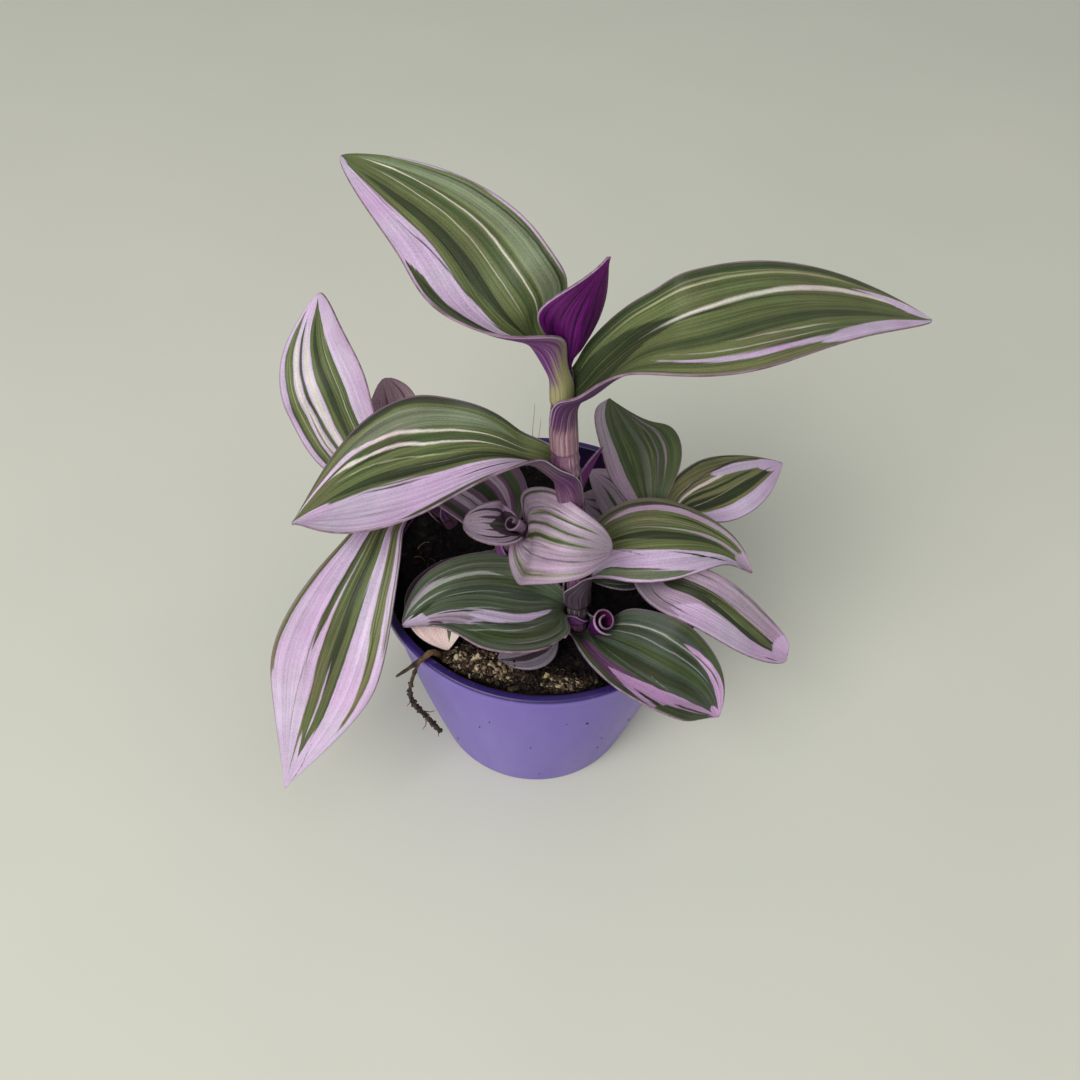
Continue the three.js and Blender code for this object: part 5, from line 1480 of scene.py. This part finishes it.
# Soil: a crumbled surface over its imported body, with granules, fibres and chips on it. Mounds have
# place, height and spread, and heaps of pale crumbs have place, spreads and share.
soil = dict(
    level=74, wallLevel=73, lumpHeight=0.55, lumpSpacing=11, side=1.6, reach=45.2, edgeFade=(43.5, 45.3),
    rings=64, segments=200, aboveFloor=0.35, wallSteps=(10, 20, 30, 40, 50, 60, 68),
    mounds=(
        (-13, -38, 4.2, 7), (-22, -33, 2.6, 6), (0, -42, 3.4, 6), (13, -41, 2.4, 5), (-33, -22, 1.6, 7),
        (2, 24, 1.4, 11), (30, 22, 1.8, 9), (-14, 34, 1.5, 8),
    ),
    heaps=((-14, -37.5, 6.5, 4.0, 1.0), (8, -41.5, 6, 2.6, 0.8), (-24, -34, 3, 4, 0.6)),
    heapChoice=(0, 0, 0, 1, 1, 2), scatterReach=44, scatterLimit=44.3, stemClear=4, seed=11,
    sunken=0.2, roughScale=0.35, roughHeight=0.35, smallScale=1.3, smallHeight=0.25,
    # The dark tone is near black, partly painted shade of the pot's inside over the soil's own dark brown
    dark=tone(14, 10, 10), brown=tone(60, 47, 38), gold=tone(126, 107, 84), pale=tone(194, 178, 146),
    backShadeToFront=(-28, -38), bedGrit=420.0, fineGrit=1500.0, relief=0.6,
)


def soilTop(x, y):
    turn = 2 * math.pi / soil["lumpSpacing"]
    lumps = soil["lumpHeight"] * (math.sin(turn * (x + 0.4 * y)) + math.sin(turn * (0.9 * y - 0.5 * x)))
    mounds = 0
    for mx, my, height, spread in soil["mounds"]:
        mounds += height * math.exp(-((x - mx) ** 2 + (y - my) ** 2) / (2 * spread ** 2))
    return soil["level"] + lumps + mounds


def heapShare(x, y):
    share = 0
    for mx, my, wide, deep, height in soil["heaps"]:
        share += height * math.exp(-(((x - mx) / wide) ** 2 + ((y - my) / deep) ** 2) / 2)
    return min(share, 1)


def crumbled(x, y):
    rough = noise.fractal(Vector((x, y, 3.0)) * soil["roughScale"], 0.8, 2.1, 4)
    small = noise.noise(Vector((x, y, 9.0)) * soil["smallScale"])
    return soilTop(x, y) - soil["sunken"] + soil["roughHeight"] * rough + soil["smallHeight"] * small


# The bed darkens to near black towards the back, which is painted shade of the pot's inside, and is lighter
# at the front, where the gold granules lie; each crumb has a tone of its own
def soilMaterial(name, gritScale, ofCrumbs):
    material, tree, shader = newMaterial(name, {"Roughness": 0.95, "Specular IOR Level": 0.2})
    place = onObject(tree)
    grit = grainy(tree, place, gritScale, 4.0, 0.7)
    if ofCrumbs:
        own = node(tree, "ShaderNodeAttribute", attribute_name="crumbTone").outputs["Fac"]
        amount = plus(tree, own, ranged(tree, grit, 0.3, 0.7, -0.14, 0.14))
    else:
        # Painted shade: darker towards the back, and lighter towards the front where the gold granules lie
        back, front = soil["backShadeToFront"]
        backShadeToFrontShare = ranged(tree, parted(tree, place)[1], back * mm, front * mm, 0.02, 0.2)
        amount = plus(tree, backShadeToFrontShare, ranged(tree, grit, 0.3, 0.7, -0.2, 0.25))
    stops = ((0.1, soil["dark"]), (0.4, soil["brown"]), (0.66, soil["gold"]), (0.92, soil["pale"]))
    fineGrit = grainy(tree, place, soil["fineGrit"], 4.0, 0.7)
    finishSkin(tree, shader, ramp(tree, amount, stops), None, fineGrit, soil["relief"], 0.9)
    return material


low = pot["floor"] + soil["aboveFloor"]
soilProfile = [(pot["axisGap"], low)]
soilProfile += [(wallRadius(z) - soil["side"], z) for z in (low, *soil["wallSteps"], soil["wallLevel"])]
rings = np.linspace(soil["reach"], pot["axisGap"], soil["rings"])
soilProfile += [(radius, soil["level"]) for radius in rings]
bedBm = turnedShell(soilProfile, soil["segments"])
for vert in bedBm.verts:
    if vert.co.z > (soil["level"] - 0.01) * mm:
        x, y = vert.co.x / mm, vert.co.y / mm
        fade = 1 - smooth(math.hypot(x, y), *soil["edgeFade"])
        vert.co.z = float(mixed(soil["wallLevel"] + 0.3, crumbled(x, y), fade)) * mm
closeHoles(bedBm)
bedMaterial = soilMaterial("potting soil", soil["bedGrit"], False)
addPiece("soil_bed", bedBm, [bedMaterial], stands=("soil",))

chance = random.Random(soil["seed"])
stemFeet = [(stem["points"][1][0], stem["points"][1][1]) for stem in stems.values()]
anyTurn = 6.28


# A place on the soil, clear of the wall and the stems: on a heap for that share of the draws
def scatterPlace(heapedShare):
    while True:
        if chance.random() < heapedShare:
            mx, my, wide, deep, _ = soil["heaps"][chance.choice(soil["heapChoice"])]
            x, y = chance.gauss(mx, wide), chance.gauss(my, deep)
        else:
            radius, angle = soil["scatterReach"] * math.sqrt(chance.random()), chance.uniform(0, 2 * math.pi)
            x, y = radius * math.cos(angle), radius * math.sin(angle)
        clear = all(math.hypot(x - fx, y - fy) > soil["stemClear"] for fx, fy in stemFeet)
        if math.hypot(x, y) < soil["scatterLimit"] and clear:
            return x, y


# Crumbs: made in trays, since a large mesh grows slowly. In a heap they are lighter and piled up, and the
# higher a crumb lies the lighter it is, painted light on the heap's top.
crumbs = dict(
    count=6000, tray=400, heaped=0.75, sizes=(0.28, 0.36, 0.45, 0.55, 0.7, 0.85), sizeSpread=(0.8, 1.2),
    piled=1.1, raisedShare=0.3, squash=((0.8, 1.7), (0.6, 1.1), (0.35, 0.8)), roughness=0.16,
    paleness=0.06, heapPaleness=0.32, paintedTopLight=0.2, toneSpread=0.07, heapSpread=0.24, gritScale=900.0,
)
crumbBm = bmesh.new()
crumbBm.verts.layers.float.new("crumbTone")
for k in range(crumbs["count"]):
    if k % crumbs["tray"] == 0:
        tray = bmesh.new()
        toneLayer = tray.verts.layers.float.new("crumbTone")
    x, y = scatterPlace(crumbs["heaped"])
    heap = heapShare(x, y)
    size = chance.choice(crumbs["sizes"]) * chance.uniform(*crumbs["sizeSpread"])
    raised = chance.uniform(0, crumbs["piled"]) * heap
    # Crumbs raised higher on a heap are lighter, painted light on the heap's top
    paleness = crumbs["paleness"] + crumbs["heapPaleness"] * heap + crumbs["paintedTopLight"] * raised
    crumbTone = chance.gauss(paleness, crumbs["toneSpread"] + crumbs["heapSpread"] * heap)
    crumbTone = min(max(crumbTone, 0), 1)
    where = Matrix.Translation(Vector((x, y, crumbled(x, y) + crumbs["raisedShare"] * size + raised)) * mm)
    spin = Matrix.Rotation(chance.uniform(0, anyTurn), 4, jolt(chance).normalized())
    squash = Matrix.Diagonal([chance.uniform(*limits) for limits in crumbs["squash"]] + [1])
    for vert in addCrumb(tray, size, where @ spin @ squash, crumbs["roughness"], chance):
        vert[toneLayer] = crumbTone
    if (k + 1) % crumbs["tray"] == 0:
        trayMesh = meshFrom(tray, "crumb tray")
        crumbBm.from_mesh(trayMesh)
        bpy.data.meshes.remove(trayMesh)
addPiece("soil_crumbs", crumbBm, [soilMaterial("soil crumbs", crumbs["gritScale"], True)])

# Bark chips: one large piece at the front and small ones scattered
chips = dict(
    count=30, heaped=0.6, firstPlace=(2.8, -39), firstSize=(2.8, 1.9, 0.8),
    sizes=((0.6, 1.6), (0.25, 0.6), (0.15, 0.3)), raised=0.5, tilt=0.5, roughness=0.12, edge=0.08,
    tones=((0.35, tone(112, 86, 58)), (0.5, tone(160, 134, 92)), (0.65, tone(214, 196, 156))),
    dullness=0.85, grain=(260.0, 4.0), reliefGrain=(1600.0, 3.0), relief=0.3,
)
chipBm = bmesh.new()
for k in range(chips["count"]):
    x, y = chips["firstPlace"] if k == 0 else scatterPlace(chips["heaped"])
    size = chips["firstSize"] if k == 0 else [chance.uniform(*limits) for limits in chips["sizes"]]
    where = Matrix.Translation(Vector((x, y, crumbled(x, y) + chips["raised"])) * mm)
    turned = Matrix.Rotation(chance.uniform(0, anyTurn), 4, "Z")
    spin = turned @ Matrix.Rotation(chance.uniform(-chips["tilt"], chips["tilt"]), 4, "X")
    shape = Matrix.Diagonal([side * mm for side in size] + [1])
    made = bmesh.ops.create_cube(chipBm, size=1, matrix=where @ spin @ shape)["verts"]
    for vert in made:
        vert.co += jolt(chance) * chips["roughness"] * mm
bevel = dict(offset=chips["edge"] * mm, affect="EDGES", segments=1, profile=0.5, material=-1)
bmesh.ops.bevel(chipBm, geom=chipBm.edges[:], **bevel)
addPiece("soil_chips", chipBm, [grainMaterial("bark chips", chips)])

# Fibres on the soil, and the four rootlets that stand at the far rim, each from foot to tip
fibres = dict(
    count=60, heaped=0.5, reach=(2, 6), steps=6, bend=0.9, limit=44.5, raised=0.35, arch=0.7,
    radius=0.09, sides=5, rootletSteps=10, rootletRadius=0.13, rootletTaper=0.008, rootletSway=0.25,
    dullness=0.8, grain=(90.0, 2.0), tones=((0.35, tone(84, 62, 40)), (0.6, tone(168, 140, 98))),
    rootlets=(
        ((-4.6, 43.5, 73.5), (-4.8, 44, 103)), ((-2.6, 43.5, 73.5), (-2.7, 44, 96.5)),
        ((-6.4, 43.5, 73.5), (-8.2, 44.5, 90)), ((0.5, 43, 73.5), (1.4, 44, 89)),
    ),
)
fibreBm = bmesh.new()
layer = fibreBm.verts.layers.float_vector.new("stemPlace")
for k in range(fibres["count"]):
    x, y = scatterPlace(fibres["heaped"])
    heading, reach = chance.uniform(0, anyTurn), chance.uniform(*fibres["reach"])
    line = []
    for step in range(fibres["steps"]):
        share = step / (fibres["steps"] - 1)
        px = x + math.cos(heading + share * fibres["bend"]) * reach * share
        py = y + math.sin(heading + share * fibres["bend"]) * reach * share
        if math.hypot(px, py) > fibres["limit"]:
            break
        arch = fibres["arch"] * math.sin(math.pi * share) * chance.random()
        line.append((px, py, crumbled(px, py) + fibres["raised"] + arch))
    if len(line) > 3:
        sweptRod(fibreBm, line, [fibres["radius"]] * len(line), fibres["sides"], layer)
steps = range(fibres["rootletSteps"])
radii = [fibres["rootletRadius"] - fibres["rootletTaper"] * k for k in steps]
for foot, tip in fibres["rootlets"]:
    straight = [mixed(np.array(foot), np.array(tip), k / (len(steps) - 1)) for k in steps]
    line = [straight[k] + (fibres["rootletSway"] * math.sin(0.9 * k), 0, 0) for k in steps]
    sweptRod(fibreBm, line, radii, fibres["sides"], layer)
addPiece("soil_fibres", fibreBm, [grainMaterial("soil fibres", fibres)])
print("soil done")

# Dead stalk over the rim, with its dried root hanging outside the wall. Threads leave the root at a
# row of it, by the reach given, and crumbs of soil cling to its lower part.
deadStalk = dict(
    stalk=((-27, -33.5, 76), (-29.5, -36, 82.6), (-32.5, -40, 84.2), (-38, -46, 85.5)),
    root=(
        (-32.7, -40.2, 84), (-34.6, -41.9, 78), (-35.7, -42.6, 71), (-34.6, -42.2, 63),
        (-31.5, -42, 55.5), (-28.2, -43.2, 50),
    ),
    radius=0.85, stalkSteps=46, stalkSides=22, rootRadius=0.55, rootSteps=70, rootSides=12,
    threads=((27, (-1.2, -1.2, -6)), (46, (4.6, -0.8, 1.4)), (52, (-1, -1.6, -6)), (62, (1.2, -1.4, -5))),
    threadBend=(0.6, -0.3, -0.4), threadSteps=14, threadRadius=0.2, threadTaper=0.6, threadSides=8,
    crumbs=230, seed=4, crumbRow=18, crumbRows=52, crumbSizes=(0.18, 0.5), crumbOff=(0.3, 0.8),
    crumbRise=0.5, crumbRough=0.15,
    dark=tone(36, 27, 22), bark=tone(78, 58, 40), light=tone(142, 112, 76), streakScale=500.0, relief=0.6,
    rimShade=(83, 79, 0.55), inner=(-33, -29.5), innerAbove=(79, 81), innerShare=0.75,
)


def knobbly(travelled, angle):
    return 0.1 * math.sin(5 * angle + travelled) + 0.07 * math.sin(11 * angle)


def stalkRadius(k):
    taper = 1 - 0.7 * (k / (deadStalk["stalkSteps"] - 1)) ** 3
    return deadStalk["radius"] * taper * (1 - 0.12 * math.sin(0.8 * k) * math.sin(0.31 * k))


def rootRadius(k):
    return deadStalk["rootRadius"] * (1 + 0.25 * math.sin(0.9 * k) * math.sin(0.23 * k))


stalkBm = bmesh.new()
layer = stalkBm.verts.layers.float_vector.new("stemPlace")
line = throughPoints(deadStalk["stalk"], deadStalk["stalkSteps"])
sweptRod(stalkBm, line, [stalkRadius(k) for k in range(len(line))], deadStalk["stalkSides"], layer, knobbly)
line = throughPoints(deadStalk["root"], deadStalk["rootSteps"])
sweptRod(stalkBm, line, [rootRadius(k) for k in range(len(line))], deadStalk["rootSides"], layer)
steps, taper = deadStalk["threadSteps"], deadStalk["threadTaper"]
radii = [deadStalk["threadRadius"] * (1 - taper * step / (steps - 1)) for step in range(steps)]
for k, reach in deadStalk["threads"]:
    middle = line[k] + 0.5 * np.array(reach) + deadStalk["threadBend"]
    thread = throughPoints((line[k], middle, line[k] + reach), steps)
    sweptRod(stalkBm, thread, radii, deadStalk["threadSides"], layer)
rootChance = random.Random(deadStalk["seed"])
for k in range(deadStalk["crumbs"]):
    row = deadStalk["crumbRow"] + deadStalk["crumbRows"] * rootChance.random() ** 0.7
    x, y, z = line[min(int(row), len(line) - 1)]
    angle, size = rootChance.uniform(0, anyTurn), rootChance.uniform(*deadStalk["crumbSizes"])
    off = rootChance.uniform(*deadStalk["crumbOff"])
    rise = rootChance.uniform(-deadStalk["crumbRise"], deadStalk["crumbRise"])
    centre = Vector((x + off * math.cos(angle), y + off * math.sin(angle), z + rise)) * mm
    addCrumb(stalkBm, size, Matrix.Translation(centre), deadStalk["crumbRough"], rootChance)
stalkMaterial, tree, shader = newMaterial("dry stalk", {"Roughness": 0.85})
place = onObject(tree)
x, y, z = parted(tree, place)
streaks = grainy(tree, scaled(tree, place, (1.0, 1.0, 0.5)), deadStalk["streakScale"], 4.0, 0.6)
stops = ((0.35, deadStalk["dark"]), (0.55, deadStalk["bark"]), (0.72, deadStalk["light"]))
shadeFrom, shadeTo, shadeShare = deadStalk["rimShade"]
shaded = ranged(tree, z, shadeFrom * mm, shadeTo * mm, 0.0, shadeShare)
bark = blendTones(tree, shaded, ramp(tree, streaks, stops), deadStalk["dark"])
inside = ranged(tree, x, *(edge * mm for edge in deadStalk["inner"]))
above = ranged(tree, z, *(edge * mm for edge in deadStalk["innerAbove"]))
inside = times(tree, times(tree, inside, above), deadStalk["innerShare"])
bark = blendTones(tree, inside, bark, deadStalk["light"])
finishSkin(tree, shader, bark, None, streaks, deadStalk["relief"], 0.8)
addPiece("dead_stalk_fine", stalkBm, [stalkMaterial], stands=("dead_stalk",))
print("dead stalk done")
